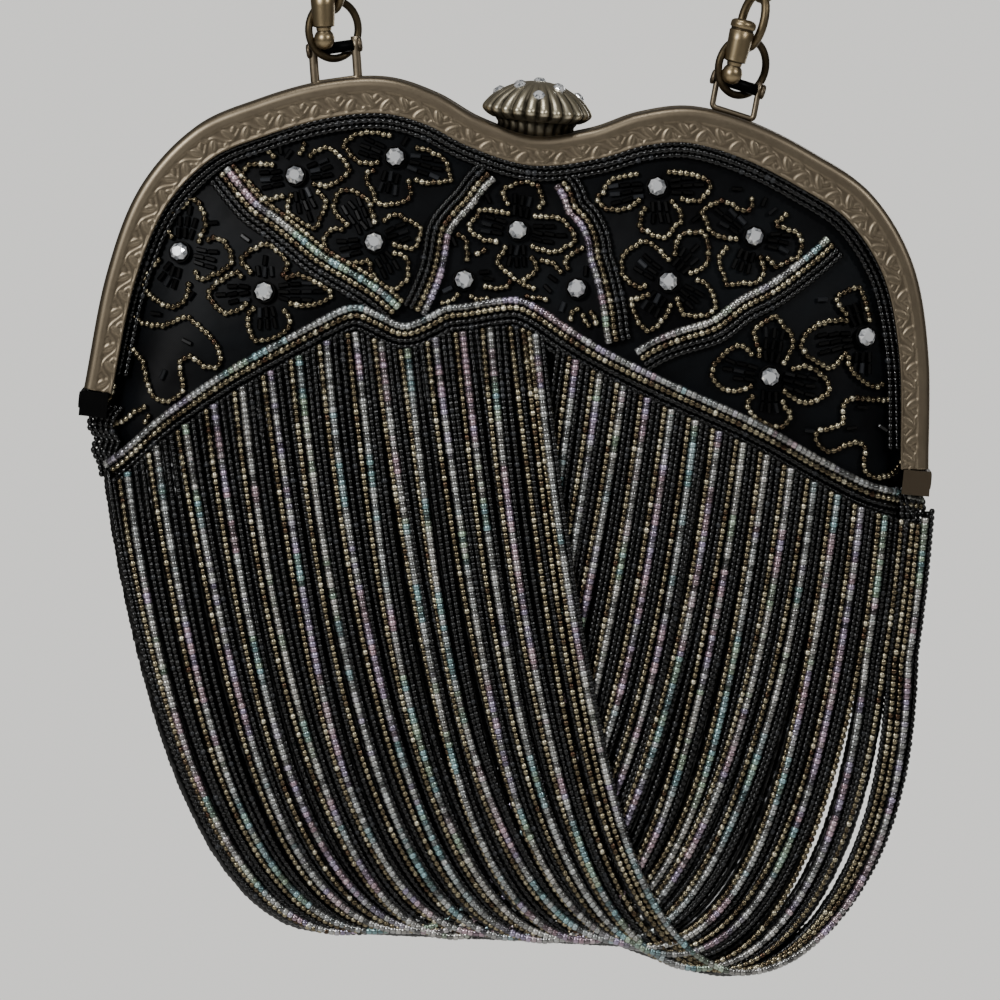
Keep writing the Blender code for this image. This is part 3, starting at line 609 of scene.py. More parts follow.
def pearly_colour(work):
    """The film's colour at the bead's shift, times a brightness that rises with its tint."""
    stops = (
        (0.0, 0.27, 0.27, 0.265),
        (0.14, 0.33, 0.225, 0.26),
        (0.24, 0.25, 0.215, 0.31),
        (0.34, 0.29, 0.29, 0.28),
        (0.52, 0.25, 0.26, 0.26),
        (0.62, 0.17, 0.28, 0.30),
        (0.70, 0.23, 0.30, 0.22),
        (0.80, 0.31, 0.30, 0.28),
        (1.0, 0.27, 0.27, 0.265),
    )
    film = work.ramp(work.attribute("shift"), stops)
    light = work.maths("MULTIPLY_ADD", work.attribute("tint"), 1.7, 0.15)
    node = work.add("ShaderNodeHueSaturation")
    work.join(film, node.inputs["Color"])
    work.join(light, node.inputs["Value"])
    return node.outputs[0]


jet = bead_glass("jet_beads", jet_colour, (0.001, 0.001, 0.001), Specular_IOR_Level=0.38)
bronze = bead_glass("bronze_beads", bronze_colour, (0.012, 0.009, 0.006), Metallic=0.95)
pearly = bead_glass("pearly_beads", pearly_colour, (0.03, 0.03, 0.03), Metallic=0.7, Coat_Weight=0.5)

# %% [markdown]
# The pouch is black satin with a faint blue sheen, partly the shader's own and partly painted in its colour.
# The stones are clear glass with a foil behind them, so from outside each facet looks either bright or dark:
# each stores its own value, a painted reflection, and the shader is a smooth, half-metallic one that takes
# its colour from that value.

# %% Satin and crystal materials
satin, work, shader = new_material(
    "black_satin", Sheen_Weight=0.01, Sheen_Roughness=0.4, Sheen_Tint=(0.4, 0.6, 0.85), Specular_IOR_Level=0.1
)
weave = placed_group(work, "satin_weave", Thread_scale=1400.0, Wrinkle_scale=60.0)
# painted sheen: the colour turns a lighter blue-grey where the wrinkles rise
stops = ((0.3, 0.001, 0.001, 0.0014), (0.7, 0.003, 0.0042, 0.0055))
work.join(work.ramp(weave["Wrinkle"], stops), shader["Base Color"])
work.join(work.maths("MULTIPLY_ADD", weave["Wrinkle"], 0.2, 0.36), shader["Roughness"])
work.join(weave["Normal"], shader["Normal"])

crystal, work, shader = new_material(
    "crystal", Metallic=0.35, Roughness=0.08, Coat_Weight=0.8, Coat_Roughness=0.03
)
# painted reflections: each face's stored brightness sets its colour, from near black to white
stops = ((0.0, 0.08, 0.09, 0.10), (0.35, 0.3, 0.31, 0.33), (0.65, 0.62, 0.64, 0.66), (1.0, 1.0, 1.0, 1.0))
work.join(work.ramp(work.attribute("facet"), stops), shader["Base Color"])
print("materials:", len(bpy.data.materials))

# %% [markdown]
# ## The metal frame
# The real frame is stamped from sheet, with a smooth rolled rim outside and a running wave of leaves pressed
# up along its face. A bump map would lose the leaves' edges in raking light, so the face is a fine grid whose
# points lie lower wherever there is no leaf. The section is one closed line: up the outer wall, round the
# rim, across the face, and back inside, and it is carried along the frame's outline.

# %% Relief of leaves
FRAME_DEPTH = 9.0
FRAME_WALL = 1.0
RIM_RADIUS = 1.8
HALVES_GAP = 0.15
RIM_SHARE = 0.3
RIM_SLOPE = 0.1
LIP_SHARE = 0.1
LIP_SLOPE = 0.05
WAVE_LENGTH = 8.8
RELIEF = 0.24
VINE_HEIGHT = 0.85
VINE_SWING = 1.3
VINE_WIDTH = 0.26
VEIN_WIDTH = 0.16
LEAVES = (
    # height, along and across from the middle of a bend, turn, length, width
    (1.0, -0.2, -0.55, 0.95, 2.5, 1.05),
    (0.85, -1.3, 1.7, -0.5, 1.5, 0.75),
    (0.75, 1.6, -1.2, -0.9, 1.4, 0.6),
)


def leaf(along, across, turn, length, width):
    """A pointed leaf: in its own turned axes it is one less the square of the long share, less the wide
    share, and a narrow groove down its middle is its vein."""
    cosine, sine = math.cos(turn), math.sin(turn)
    long = (along * cosine + across * sine) / length
    wide = (across * cosine - along * sine) / width
    body = smooth_step((1 - long**2 - np.abs(wide)) * 2.2)
    return body * (1 - 0.5 * np.exp(-((wide / VEIN_WIDTH) ** 2)))


def leaf_wave(along, across):
    """A sine vine, raised as a bell curve across it, with three leaves in every bend, on alternating sides.
    Along and across are in millimetres, with across 0 in the middle of the ornament."""
    vine = across - VINE_SWING * np.sin(2 * math.pi * along / WAVE_LENGTH)
    height = VINE_HEIGHT * np.exp(-((vine / VINE_WIDTH) ** 2))
    bend = np.floor(along / (WAVE_LENGTH / 2))
    side = np.where(bend % 2 == 0, 1.0, -1.0)
    near = along - (bend + 0.5) * WAVE_LENGTH / 2
    for tall, there, aside, turn, length, width in LEAVES:
        shape = leaf(near - there, side * across - aside, turn, length, width)
        height = np.maximum(height, tall * shape)
    return height


# %% Sweep the frame halves
LIP_OVER = 0.25
CORNER = 1.2
BACK_FACE = FRAME_DEPTH - FRAME_WALL


def frame_half(name, facing, ornate):
    """The section swept along the outline. Its columns are places inwards and away from the middle plane,
    with a shade: the outer wall, the rim as a quarter circle, the face with its relief, the lip, and the
    inside of the channel. The shade is stored as the metal's height and is painted shade in part: low under
    the lip and inside the channel, and lower between the leaves than on them, where it is patina too."""
    stations, face_columns = (900, 27) if ornate else (240, 9)
    edge, width, inwards = frame_line(stations)
    run = run_of(frame_line(stations, share_of_face=0.6)[0])
    columns = [(0.0, HALVES_GAP, 0.5), (0.0, 0.5 * FRAME_DEPTH, 0.5)]
    for turn in np.linspace(math.pi, math.pi / 2, 7):
        inset, away = RIM_RADIUS * (1 + math.cos(turn)), FRAME_DEPTH - RIM_RADIUS * (1 - math.sin(turn))
        columns.append((inset, away, 0.55))
    middle = RIM_RADIUS + (width - RIM_RADIUS) * (1 + RIM_SHARE - LIP_SHARE) / 2
    for share in np.linspace(0, 1, face_columns)[1:]:
        inset = RIM_RADIUS + (width - RIM_RADIUS) * share
        past_rim = smooth_step((share - RIM_SHARE + RIM_SLOPE) / RIM_SLOPE)
        ground = past_rim * smooth_step((1 - LIP_SHARE + LIP_SLOPE - share) / LIP_SLOPE)
        pattern = leaf_wave(run, inset - middle) if ornate else 0.0 * run
        height = RELIEF * ground * (pattern - 1.0)
        # painted shade and patina: the ground between the leaves is darker than the leaves
        columns.append((inset, FRAME_DEPTH + height, 0.5 + ground * (0.42 * pattern - 0.16)))
    # painted shade: the underside of the lip and the inside of the channel are given low shades
    columns += [
        (width + LIP_OVER, FRAME_DEPTH - 0.3, 0.6),
        (width + LIP_OVER, BACK_FACE + 0.2, 0.4),
        (width, BACK_FACE, 0.2),
        (FRAME_WALL + CORNER, BACK_FACE, 0.1),
        (FRAME_WALL, BACK_FACE - CORNER, 0.1),
        (FRAME_WALL, HALVES_GAP, 0.3),
    ]
    inset, away, shade = (
        np.stack([np.broadcast_to(column[part], stations) for column in columns], axis=1) for part in range(3)
    )
    place = edge[:, None, :] + inwards[:, None, :] * inset[..., None]
    points = np.stack([place[..., 0], facing * away, place[..., 1]], axis=-1)
    rows, around = inset.shape
    groups = [quads(rows, around, around=True), end_caps(rows, around)]
    # the shade, painted shade and patina, is stored as the metal's height
    options = {"replaces": [name], "height": shade.ravel()}
    add_piece(name + "_metal", points.reshape(-1, 3), groups, pewter, "antique_pewter", **options)


frame_half("frame_front", -1, ornate=True)
frame_half("frame_back", 1, ornate=False)

# %% [markdown]
# The hinge caps already have their true shape, so they keep their solids and only get a metal finish and a
# small bevel. The left one is lacquered black and the right one is bare. The finish reads a stored height,
# which these solids don't have, so it falls back to its hollow colour, as the caps are darker than the frame.

# %% Hinges
HINGE_BEVEL = 0.6
for name, finish in (("hinge_left", black_lacquer), ("hinge_right", pewter)):
    cap = nodes[name]
    cap.data.materials.clear()
    cap.data.materials.append(finish)
    edge = cap.modifiers.new("softened", "BEVEL")
    edge.width = HINGE_BEVEL * MM
    edge.segments = 3
    edge.limit_method = "ANGLE"
print("hinges softened")

# %% [markdown]
# ## The clasp knob
# The knob is a shallow fluted dome, cast with a scalloped rim, and its underside slopes in over a ribbed
# collar. It is a turned profile whose radius is cut back between the ribs by a rounded wave, deepest at the
# rim. Nine small stones sit in it: one on top, four round that, and four more lower down. The knob sits on
# the plunger of the clasp and moves with it, while the collar belongs to the frame.

# %% Knob
KNOB_PROFILE = (
    # radius, height, depth of the flutes
    (0.0, 13.0, 0.0),
    (2.4, 12.9, 0.0),
    (4.2, 12.55, 0.05),
    (6.0, 12.0, 0.35),
    (8.0, 11.05, 0.6),
    (9.9, 9.9, 0.8),
    (11.5, 8.6, 0.95),
    (12.7, 7.2, 1.1),
    (13.3, 6.3, 1.2),
    (13.4, 5.7, 1.25),
    (13.1, 5.1, 1.25),
    (12.6, 4.65, 1.2),
    (12.0, 4.2, 1.1),
    (11.3, 3.85, 0.7),
    (10.8, 3.6, 0.3),
    (10.5, 3.55, 0.1),
    (10.3, 3.8, 0.0),
    (10.2, 4.8, 0.0),
    (9.7, 5.2, 0.0),
    (6.0, 5.2, 0.0),
    (3.0, 5.1, 0.0),
    (2.6, 4.6, 0.0),
    (2.6, 2.0, 0.0),
    (2.6, -1.0, 0.0),
    (2.6, -5.0, 0.0),
    (0.0, -5.0, 0.0),
)
KNOB_FLUTES = 24
KNOB_SIDES = 8 * KNOB_FLUTES
KNOB_STONES = (
    # count, radius of the ring, height, turn of the first in degrees, lean in degrees
    (1, 0.0, 12.75, 0.0, 0.0),
    (4, 6.6, 11.5, 45.0, 22.0),
    (4, 9.6, 9.7, 0.0, 38.0),
)
KNOB_STONE_RADIUS = 1.5
KNOB_STONE_TALL = 1.1
KNOB_ROWS = 76
KNOB_TIP = 0.02
RIB_ROUNDING = 0.7
# painted shade: how dark the flutes' grooves are, and below what height and by how much the underside is
# darkened
GROOVE_DARK = 1.6
UNDERSIDE_BELOW = 5.0
UNDERSIDE_SHADE = 0.2

(_, top, _), *middle_rows, (_, bottom, _) = KNOB_PROFILE
profile = smooth_path(middle_rows, KNOB_ROWS)
profile = np.vstack([(KNOB_TIP, top, 0.0), profile, (KNOB_TIP, bottom, 0.0)])
angle = np.arange(KNOB_SIDES) * 2 * math.pi / KNOB_SIDES
groove = 1 - np.abs(np.sin(KNOB_FLUTES * angle / 2)) ** RIB_ROUNDING
points = turned_rings(profile, KNOB_SIDES, flute=profile[:, 2:3] * groove)
# painted shade: the grooves between the ribs darken, most at the rim, as patina and painted shade, and all
# below 5 mm, the underside, is darkened to a fifth as painted shade
shade = 1 - np.clip(profile[:, 2:3], 0, 1) * smooth_step(groove * GROOVE_DARK)
shade[profile[:, 1] < UNDERSIDE_BELOW] *= UNDERSIDE_SHADE
groups = closed_tube(len(profile), KNOB_SIDES)
options = {"replaces": ["clasp_knob"], "body": "clasp", "height": shade.ravel()}
add_piece("clasp_dome", points.reshape(-1, 3), groups, clasp_metal, "clasp_metal", **options)

# %% [markdown]
# The ribs go on down to the frame as a fixed collar. The knob is hollow underneath, so when it is pressed it
# slides down over the collar. From above the collar is longer than wide, so that it fits on the frame's top.

# %% Collar under the knob
COLLAR_HALF_WIDTH = 9.9
COLLAR_HALF_DEPTH = 7.2
COLLAR_TOP = 3.6
COLLAR_SUNK = 0.3
COLLAR_GROOVE = 0.6
COLLAR_EDGE = 0.3
COLLAR_NECK = 0.94
COLLAR_RIM = 0.97

reach = 1 - COLLAR_GROOVE / COLLAR_HALF_WIDTH * groove
across, away = COLLAR_HALF_WIDTH * reach * np.cos(angle), COLLAR_HALF_DEPTH * reach * np.sin(angle)
foot = height_at(across) - COLLAR_SUNK
collar_rows = (
    # share of the width, height
    (COLLAR_NECK, foot),
    (COLLAR_NECK, (foot + COLLAR_TOP) / 2),
    (1.0, np.full(KNOB_SIDES, COLLAR_TOP - COLLAR_EDGE)),
    (COLLAR_RIM, np.full(KNOB_SIDES, COLLAR_TOP)),
)
points = np.concatenate([np.stack([share * across, share * away, up], -1) for share, up in collar_rows])
# painted shade: the collar sits under the knob, so all of it is darkened to a fifth, more in its grooves
shade = np.tile(UNDERSIDE_SHADE * (1 - smooth_step(groove * GROOVE_DARK)), len(collar_rows))
groups = closed_tube(len(collar_rows), KNOB_SIDES)
add_piece("clasp_collar", points, groups, clasp_metal, "clasp_metal", height=shade)

# %% [markdown]
# ## Cut stones
# A cut stone is a small solid of flat faces: an eight-sided table, rows of triangles round it, a thin girdle,
# and a flat back that its cup hides. The faces keep their own points, so that each can be flat and hold its
# own brightness, a painted reflection that stands for the foil behind a real stone throwing light back
# through some facets and not others.

# %% Stone shape
STONE_RING = 8
STONE_CUT = (
    # share of the radius, share of the height, half steps that the ring is turned
    (0.56, 1.0, 0),
    (0.84, 0.72, 1),
    (1.0, 0.42, 0),
    (1.0, 0.3, 0),
    (0.94, 0.0, 0),
)
# painted reflection: the table's brightness, the same on every stone, and how the other faces' random
# brightness is spread
TABLE_BRIGHT = 0.75
FACET_BRIGHT = 0.8


def stone_corners(radius, tall):
    """Rings of a round cut stone from the table down, each a share of the radius at a share of the height,
    the second turned by half a step."""
    turn = np.arange(STONE_RING) * 2 * math.pi / STONE_RING
    corners = []
    for share, up, step in STONE_CUT:
        at = turn + step * math.pi / STONE_RING
        reach, height = share * radius, np.full(STONE_RING, up * tall)
        corners.append(np.stack([reach * np.cos(at), reach * np.sin(at), height], axis=-1))
    return np.concatenate(corners)


def stone_faces():
    """The table, the crown's triangles between its turned rings, the girdle's walls and the back."""
    here = np.arange(STONE_RING)
    after = (here + 1) % STONE_RING
    table = here[None, :]
    table_down = np.stack([here, here + STONE_RING, after], axis=-1)
    edge = 2 * STONE_RING
    crown_up = np.stack([here + STONE_RING, after + edge, after], axis=-1)
    crown_side = np.stack([here, here + edge, here + STONE_RING], axis=-1)
    crown_low = np.stack([here + edge, after + edge, here + STONE_RING], axis=-1)
    walls = quads(3, STONE_RING, around=True, first=edge)[:, ::-1]
    back = (np.arange(STONE_RING) + 4 * STONE_RING)[None, ::-1]
    return [table, table_down, crown_up, crown_side, crown_low, walls, back]


def add_stone(heap, radius, tall, place, rng):
    """A stone whose every face has corners of its own and a random brightness, a painted reflection."""
    corners = stone_corners(radius, tall)
    for group in stone_faces():
        own = corners[group].reshape(-1, 3)
        faces = np.arange(len(own)).reshape(group.shape)
        bright = np.repeat(rng.uniform(0.0, 1.0, len(group)) ** FACET_BRIGHT, group.shape[1])
        if len(group) == 1:
            bright = TABLE_BRIGHT
        heap.add(moved(own, place), faces, facet=bright)


rng = np.random.default_rng(7)
heap = Heap()
for count, radius, up, first, lean in KNOB_STONES:
    for number in range(count):
        turn = Matrix.Rotation(math.radians(first + 360 * number / count), 4, "Z")
        tip = Matrix.Rotation(math.radians(lean), 4, "Y")
        place = turn @ Matrix.Translation((radius, 0, up)) @ tip
        add_stone(heap, KNOB_STONE_RADIUS, KNOB_STONE_TALL, place, rng)
heap.piece("clasp_stones", crystal, "crystal", smooth=False, body="clasp")

# %% [markdown]
# ## Bails and snap hooks
# Two wire loops stand on the frame. A black pin goes across each, peened over at both ends, and the eye of a
# snap hook turns on it. Above the eye is a tapered barrel with turned grooves, which hides the catch. The
# loops and eyes are tubes along a path, the pins and barrels turned profiles, all about where the solids are.

# %% Where bails and hooks sit
BAIL_PLACES = {-1: -49.0, 1: 47.0}
BAIL_HALF_WIDTH = 5.2
BAIL_TALL = 9.6
BAIL_WIRE = 0.85
BAIL_LIFTS = {-1: -1.6, 1: -0.3}
BAIL_WIRES = {-1: (1.1, 0.65), 1: (0.75, 1.0)}
PIN_HEIGHT = 7.55
PIN_RADIUS = 1.4
BAIL_LEANS = {"left": math.radians(4.0), "right": math.radians(-7.0)}
HOOK_LEANS = {"left": math.radians(-2.0), "right": math.radians(13.0)}
HOOK_WIRE = 0.95
HOOK_HALF_WIDTH = 7.3
HOOK_HALF_TALL = 7.0
HOOK_TURN = math.radians(37.0)
HOOK_CLEARANCE = 0.25
BARREL_PLACE = (-2.2, -4.4)
SIDEWAYS = Matrix.Rotation(math.radians(90), 4, "Y")


def bail_seat(side):
    """Where a bail stands on the frame, turned by the slope there."""
    across = BAIL_PLACES[side]
    slope = math.atan2(float(height_at(across + 2)) - float(height_at(across - 2)), 4)
    stand = Matrix.Translation((across, 0.0, float(height_at(across))))
    return stand @ Matrix.Rotation(-slope, 4, "Y") @ Matrix.Translation((0.0, 0.0, BAIL_LIFTS[side]))


def hook_matrix(side, bail_lean, hook_lean):
    """The middle of the bail's pin in plumb space, leaning as the hook does."""
    height = PIN_HEIGHT - BAIL_LIFTS[side]
    pin = Vector((math.tan(bail_lean) * height, 0.0, height))
    tilted = Matrix.Rotation(HANG_TILT, 4, "Y") @ bail_seat(side)
    return Matrix.Translation(tilted @ pin) @ Matrix.Rotation(hook_lean, 4, "Y")


HOOK_TOP = -(PIN_RADIUS + HOOK_CLEARANCE + HOOK_WIRE) + 2 * HOOK_HALF_TALL

# %% Bails
BAIL_CORNER = 1.0
BAIL_SIDES = 14
PIN_SIDES = 24
PIN_HALF_LENGTH = 4.6
HEAD_OUT = 0.55
RIVET = (
    # radius, height
    (0.05, 1.15),
    (1.1, 1.1),
    (1.65, 0.9),
    (1.8, 0.6),
    (1.8, 0.2),
    (1.6, 0.0),
    (0.05, 0.0),
)


def bail(side_name, side):
    """A U of round wire, with straight legs and a small arc at each corner. The pin closes its open end."""
    lean, seat, pin_height = BAIL_LEANS[side_name], bail_seat(side), PIN_HEIGHT - BAIL_LIFTS[side]
    radius, flat = BAIL_WIRES[side]
    bend = np.linspace(0, math.pi / 2, 6)
    corner_across = BAIL_HALF_WIDTH - BAIL_CORNER + BAIL_CORNER * np.sin(bend)
    corner_up = BAIL_WIRE + BAIL_CORNER * (1 - np.cos(bend))
    across = np.concatenate([corner_across, [BAIL_HALF_WIDTH] * 4])
    up = np.concatenate([corner_up, np.linspace(BAIL_WIRE + 3, BAIL_TALL - BAIL_LIFTS[side], 4)])
    across, up = np.append(-across[::-1], across), np.append(up[::-1], up)
    path = np.column_stack([across + math.tan(lean) * up, 0 * up, up])
    heap = Heap()
    rings = tube_rings(path, radius, BAIL_SIDES, flat=flat)
    groups = closed_tube(len(path), BAIL_SIDES)
    heap.add(moved(rings.reshape(-1, 3), seat), *groups, height=0.75)
    pin_across = math.tan(lean) * pin_height
    head = turned_rings(RIVET, PIN_SIDES).reshape(-1, 3)
    groups = closed_tube(len(RIVET), PIN_SIDES)
    for way in (-1, 1):
        middle = Matrix.Translation((pin_across + way * (BAIL_HALF_WIDTH + HEAD_OUT), 0, pin_height))
        turn = middle @ Matrix.Rotation(math.radians(90 * way), 4, "Y")
        heap.add(moved(head, seat @ turn), *groups, height=0.25)
    name = f"bail_{side_name}"
    heap.piece(f"{name}_loop", pewter, "antique_pewter", replaces=[name])
    pin = [(0.05, -PIN_HALF_LENGTH)]
    pin += [(PIN_RADIUS, end * PIN_HALF_LENGTH) for end in (-1, 0, 1)]
    pin.append((0.05, PIN_HALF_LENGTH))
    middle = Matrix.Translation((pin_across, 0, pin_height))
    rings = moved(turned_rings(pin, PIN_SIDES).reshape(-1, 3), seat @ middle @ SIDEWAYS)
    groups = closed_tube(len(pin), PIN_SIDES)
    add_piece(f"{name}_pin", rings, groups, black_lacquer, "antique_pewter")


bail("left", -1)
bail("right", 1)

# %% Snap hooks
BARREL_PROFILE = (
    # radius, height above the pin, how bright: low in the groove and under each ledge as painted shade
    (0.05, 15.6, 0.5),
    (1.6, 15.6, 0.6),
    (2.4, 15.4, 0.8),
    (2.95, 15.0, 0.9),
    (3.1, 14.4, 0.9),
    (3.08, 13.6, 0.9),
    (2.75, 13.4, 0.1),
    (2.75, 12.9, 0.1),
    (3.02, 12.7, 0.9),
    (2.9, 10.4, 0.8),
    (2.75, 7.4, 0.8),
    (2.65, 6.2, 0.9),
    (2.6, 5.6, 0.9),
    (2.6, 5.3, 0.0),
    (1.9, 5.1, 0.0),
    (1.85, 4.9, 0.8),
    (1.8, 4.4, 0.8),
    (1.65, 4.2, 0.0),
    (2.15, 3.6, 0.6),
    (2.5, 2.6, 1.0),
    (2.4, 1.5, 1.0),
    (1.9, 0.5, 0.8),
    (1.1, -0.1, 0.7),
    (0.05, -0.3, 0.7),
)
EYE_POINTS = 48
EYE_SIDES = 12
BARREL_SIDES = 32


def snap_hook(side_name, matrix):
    """The eye is an oval loop turned about its upright axis; the barrel stands in front of it."""
    turn = np.arange(EYE_POINTS) * 2 * math.pi / EYE_POINTS
    aside = -HOOK_HALF_WIDTH * np.sin(turn)
    up = HOOK_TOP - HOOK_HALF_TALL - HOOK_HALF_TALL * np.cos(turn)
    eye = np.column_stack([aside * math.cos(HOOK_TURN), aside * math.sin(HOOK_TURN), up])
    guide = np.array([-math.sin(HOOK_TURN), math.cos(HOOK_TURN), 0.0])
    heap = Heap()
    rings = tube_rings(eye, HOOK_WIRE, EYE_SIDES, guide=guide, loop=True)
    faces = quads(EYE_POINTS, EYE_SIDES, around=True, loop=True)
    heap.add(moved(rings.reshape(-1, 3), matrix), faces, height=0.08)
    profile = np.array(BARREL_PROFILE)[::-1]
    place = matrix @ Matrix.Translation((*BARREL_PLACE, 0.0))
    groups = closed_tube(len(profile), BARREL_SIDES)
    barrel = turned_rings(profile, BARREL_SIDES).reshape(-1, 3)
    # the barrel's painted shade is stored as its height
    heap.add(moved(barrel, place), *groups, height=np.repeat(profile[:, 2], BARREL_SIDES))
    name = f"snap_hook_{side_name}"
    heap.piece(f"{name}_metal", dark_brass, "antique_brass", level=False, replaces=[name])


hooks = {}
for side_name, side in (("left", -1), ("right", 1)):
    hooks[side_name] = hook_matrix(side, BAIL_LEANS[side_name], HOOK_LEANS[side_name])
    snap_hook(side_name, hooks[side_name])

# %% [markdown]
# ## The chain
# The handle is a chain of oval links, each a quarter turn from the last, from one hook's eye over whatever
# holds it to the other's. A link is a ring drawn out to the link's length, with round wire carried round it.
# The links are spaced evenly on the same arch as in the solid model, so they lie where its collision is.

# %% Chain
CHAIN_ARCH = (
    # across, up from the top of the chain
    (-46.0, -92.0),
    (-47.0, -60.0),
    (-36.0, -20.0),
    (0.0, 0.0),
    (37.0, -17.0),
    (56.0, -55.0),
    (61.0, -92.0),
)
LINK_LENGTH = 15.6
LINK_WIDTH = 10.4
LINK_WIRE = 1.1
LINK_SOLDER = 0.9
LINK_GAP = 0.3
LINK_SIDES = 28
WIRE_SIDES = 12


def link_rings():
    """One oval link in its own x and z, from an ellipse and the direction square to it."""
    turn = np.arange(LINK_SIDES) * 2 * math.pi / LINK_SIDES + math.pi / 2
    half_width, half_length = LINK_WIDTH / 2 - LINK_WIRE, LINK_LENGTH / 2 - LINK_WIRE
    ring = np.column_stack([half_width * np.cos(turn), 0 * turn, half_length * np.sin(turn)])
    return tube_rings(ring, LINK_WIRE, WIRE_SIDES, guide=np.array([0.0, 1.0, 0.0]), loop=True).reshape(-1, 3)


reach = LINK_LENGTH / 2 - LINK_WIRE - (LINK_WIRE + HOOK_WIRE + LINK_GAP)
ends = []
for hook in hooks.values():
    low = hook @ Vector((0, 0, HOOK_TOP + reach))
    high = hook @ Vector((0, 0, HOOK_TOP + reach + LINK_LENGTH))
    ends.append(((low.x, low.z), (high.x, high.z)))
arch = [(across - HANG_ASIDE, up + HANG_DROP) for across, up in CHAIN_ARCH]
route = [ends[0][0], ends[0][1], *arch, ends[1][1], ends[1][0]]
length = run_of(smooth_path(route, 400))[-1]
count = int(round(length / (LINK_LENGTH - 4 * LINK_WIRE + LINK_SOLDER))) + 1
count += 1 - count % 2
centres = smooth_path(route, count)
ways = directions(centres)
first_roll = math.pi / 2 - HOOK_TURN
last_roll = math.pi - first_roll
heap = Heap()
for number in range(count):
    roll = first_roll + (last_roll - first_roll) * number / (count - 1) + math.pi / 2 * (number % 2)
    up, back = Vector((ways[number, 0], 0.0, ways[number, 1])), Vector((0.0, 1.0, 0.0))
    turn = Matrix((back.cross(up), back, up)).transposed().to_4x4() @ Matrix.Rotation(-roll, 4, "Z")
    place = Matrix.Translation((centres[number, 0], 0.0, centres[number, 1])) @ turn
    heap.add(moved(link_rings(), place), quads(LINK_SIDES, WIRE_SIDES, around=True, loop=True), height=0.35)
heap.piece("chain_links", dark_brass, "antique_brass", level=False, replaces=["chain"])
print(count, "links,", round(length / (count - 1), 2), "mm apart")

# %% [markdown]
# ## The satin pouch
# The pouch is two satin panels sewn together at the sides and the bottom. Each is a closed sheet a millimetre
# and a half thick: the outer grid follows the pouch's form, the inner one is set in from it, and both meet in
# a flat seam. The front panel is padded and smooth under its beads. On the back one, long soft folds fall
# from the frame where the cloth is gathered into it: a few waves across, whose height grows downwards from
# the mouth and dies out again at the seam. Below the hinges both are drawn in a little and hang plumb.

# %% Pouch panels
POUCH_WALL = 1.5
POUCH_SEAM = 2.0
SEAM_GAP = 0.3
FOLD_HEIGHT = 0.7
PANEL_COLUMNS = 100
PANEL_ROWS = 70
SIDE_DRAWN_IN = 0.03
HANGS_FROM = -79.0


def folds(across, share):
    """Three sine waves of different widths, strongest a third of the way down and gone at the edges."""
    wave = np.sin(across * 0.21 + 2.1 * share) + 0.6 * np.sin(across * 0.47 - 1.3 * share + 1.0)
    wave += 0.35 * np.sin(across * 0.93 + 4.0 * share)
    swell = smooth_step(share / 0.25) * smooth_step((1 - share) / 0.3)
    sides = smooth_step((POUCH_HALF_WIDTH - np.abs(across)) / 22)
    return FOLD_HEIGHT * wave * swell * sides


def hung(across, up):
    """Below the hinges the cloth is drawn in by a share and, being soft, falls plumb: it moves to the side
    by the tangent of the hanging angle for every millimetre down."""
    below = np.clip(HANGS_FROM - up, 0, None)
    return across * (1 - SIDE_DRAWN_IN * smooth_step((below + 3) / 8)) + below * math.tan(HANG_TILT)


def panel_grid(half_width, raised, wall, fold):
    """One panel from its mouth down, as places across, away from the middle plane, and up."""
    share = np.sin(np.linspace(-1, 1, PANEL_COLUMNS + 1) * math.pi / 2)
    top = height_at(half_width * share, inset=POUCH_INSET)
    bottom = pouch_bottom(POUCH_HALF_WIDTH * share) + raised
    down = np.sin(np.linspace(0, 1, PANEL_ROWS + 1) * math.pi / 2)[:, None]
    up = top + (bottom - top) * down
    across = np.broadcast_to(half_width * share, up.shape)
    away = np.maximum(pouch_depth(across, up) - wall - fold * folds(across, down), SEAM_GAP / 2)
    away[-1] = SEAM_GAP / 2
    away[:, [0, -1]] = SEAM_GAP / 2
    return np.stack([hung(across, up), away, up], axis=-1)


def rim_faces(rows, columns):
    """Faces that join the edges of two grids of the same size, the second numbered after the first."""
    edge = np.concatenate([
        np.arange(columns),
        np.arange(1, rows) * columns + columns - 1,
        (rows - 1) * columns + np.arange(columns - 2, -1, -1),
        np.arange(rows - 2, 0, -1) * columns,
    ])
    after = np.roll(edge, -1)
    return np.stack([after, edge, edge + rows * columns, after + rows * columns], axis=-1)


for name, facing, fold in (("pouch_front", -1.0, 0.0), ("pouch_back", 1.0, 1.0)):
    turned = np.array([1.0, facing, 1.0])
    outside = panel_grid(POUCH_HALF_WIDTH, 0.0, 0.0, fold) * turned
    inside = panel_grid(POUCH_HALF_WIDTH - POUCH_SEAM, POUCH_SEAM, POUCH_WALL, fold) * turned
    rows, columns = outside.shape[:2]
    groups = [
        quads(rows, columns),
        quads(rows, columns, first=rows * columns)[:, ::-1],
        rim_faces(rows, columns),
    ]
    both = np.concatenate([outside.reshape(-1, 3), inside.reshape(-1, 3)])
    panel = add_piece(name + "_satin", both, groups, satin, "black_satin", replaces=[name])

# %% [markdown]
# ## Strings of beads
# A bead is under two millimetres long, and there are about twenty-six thousand of them, so each may have
# only a couple of dozen faces. A string is one tube whose radius swells over each bead and draws in at the
# thread between two. Every bead gets a random size, so that the row isn't perfectly even, and three stored
# numbers: how far into the gap a point lies, which darkens it for the thread and as painted shade, the bead's
# own tint, which on the black beads also picks a few painted glints, and a colour shift that drifts along
# the string.

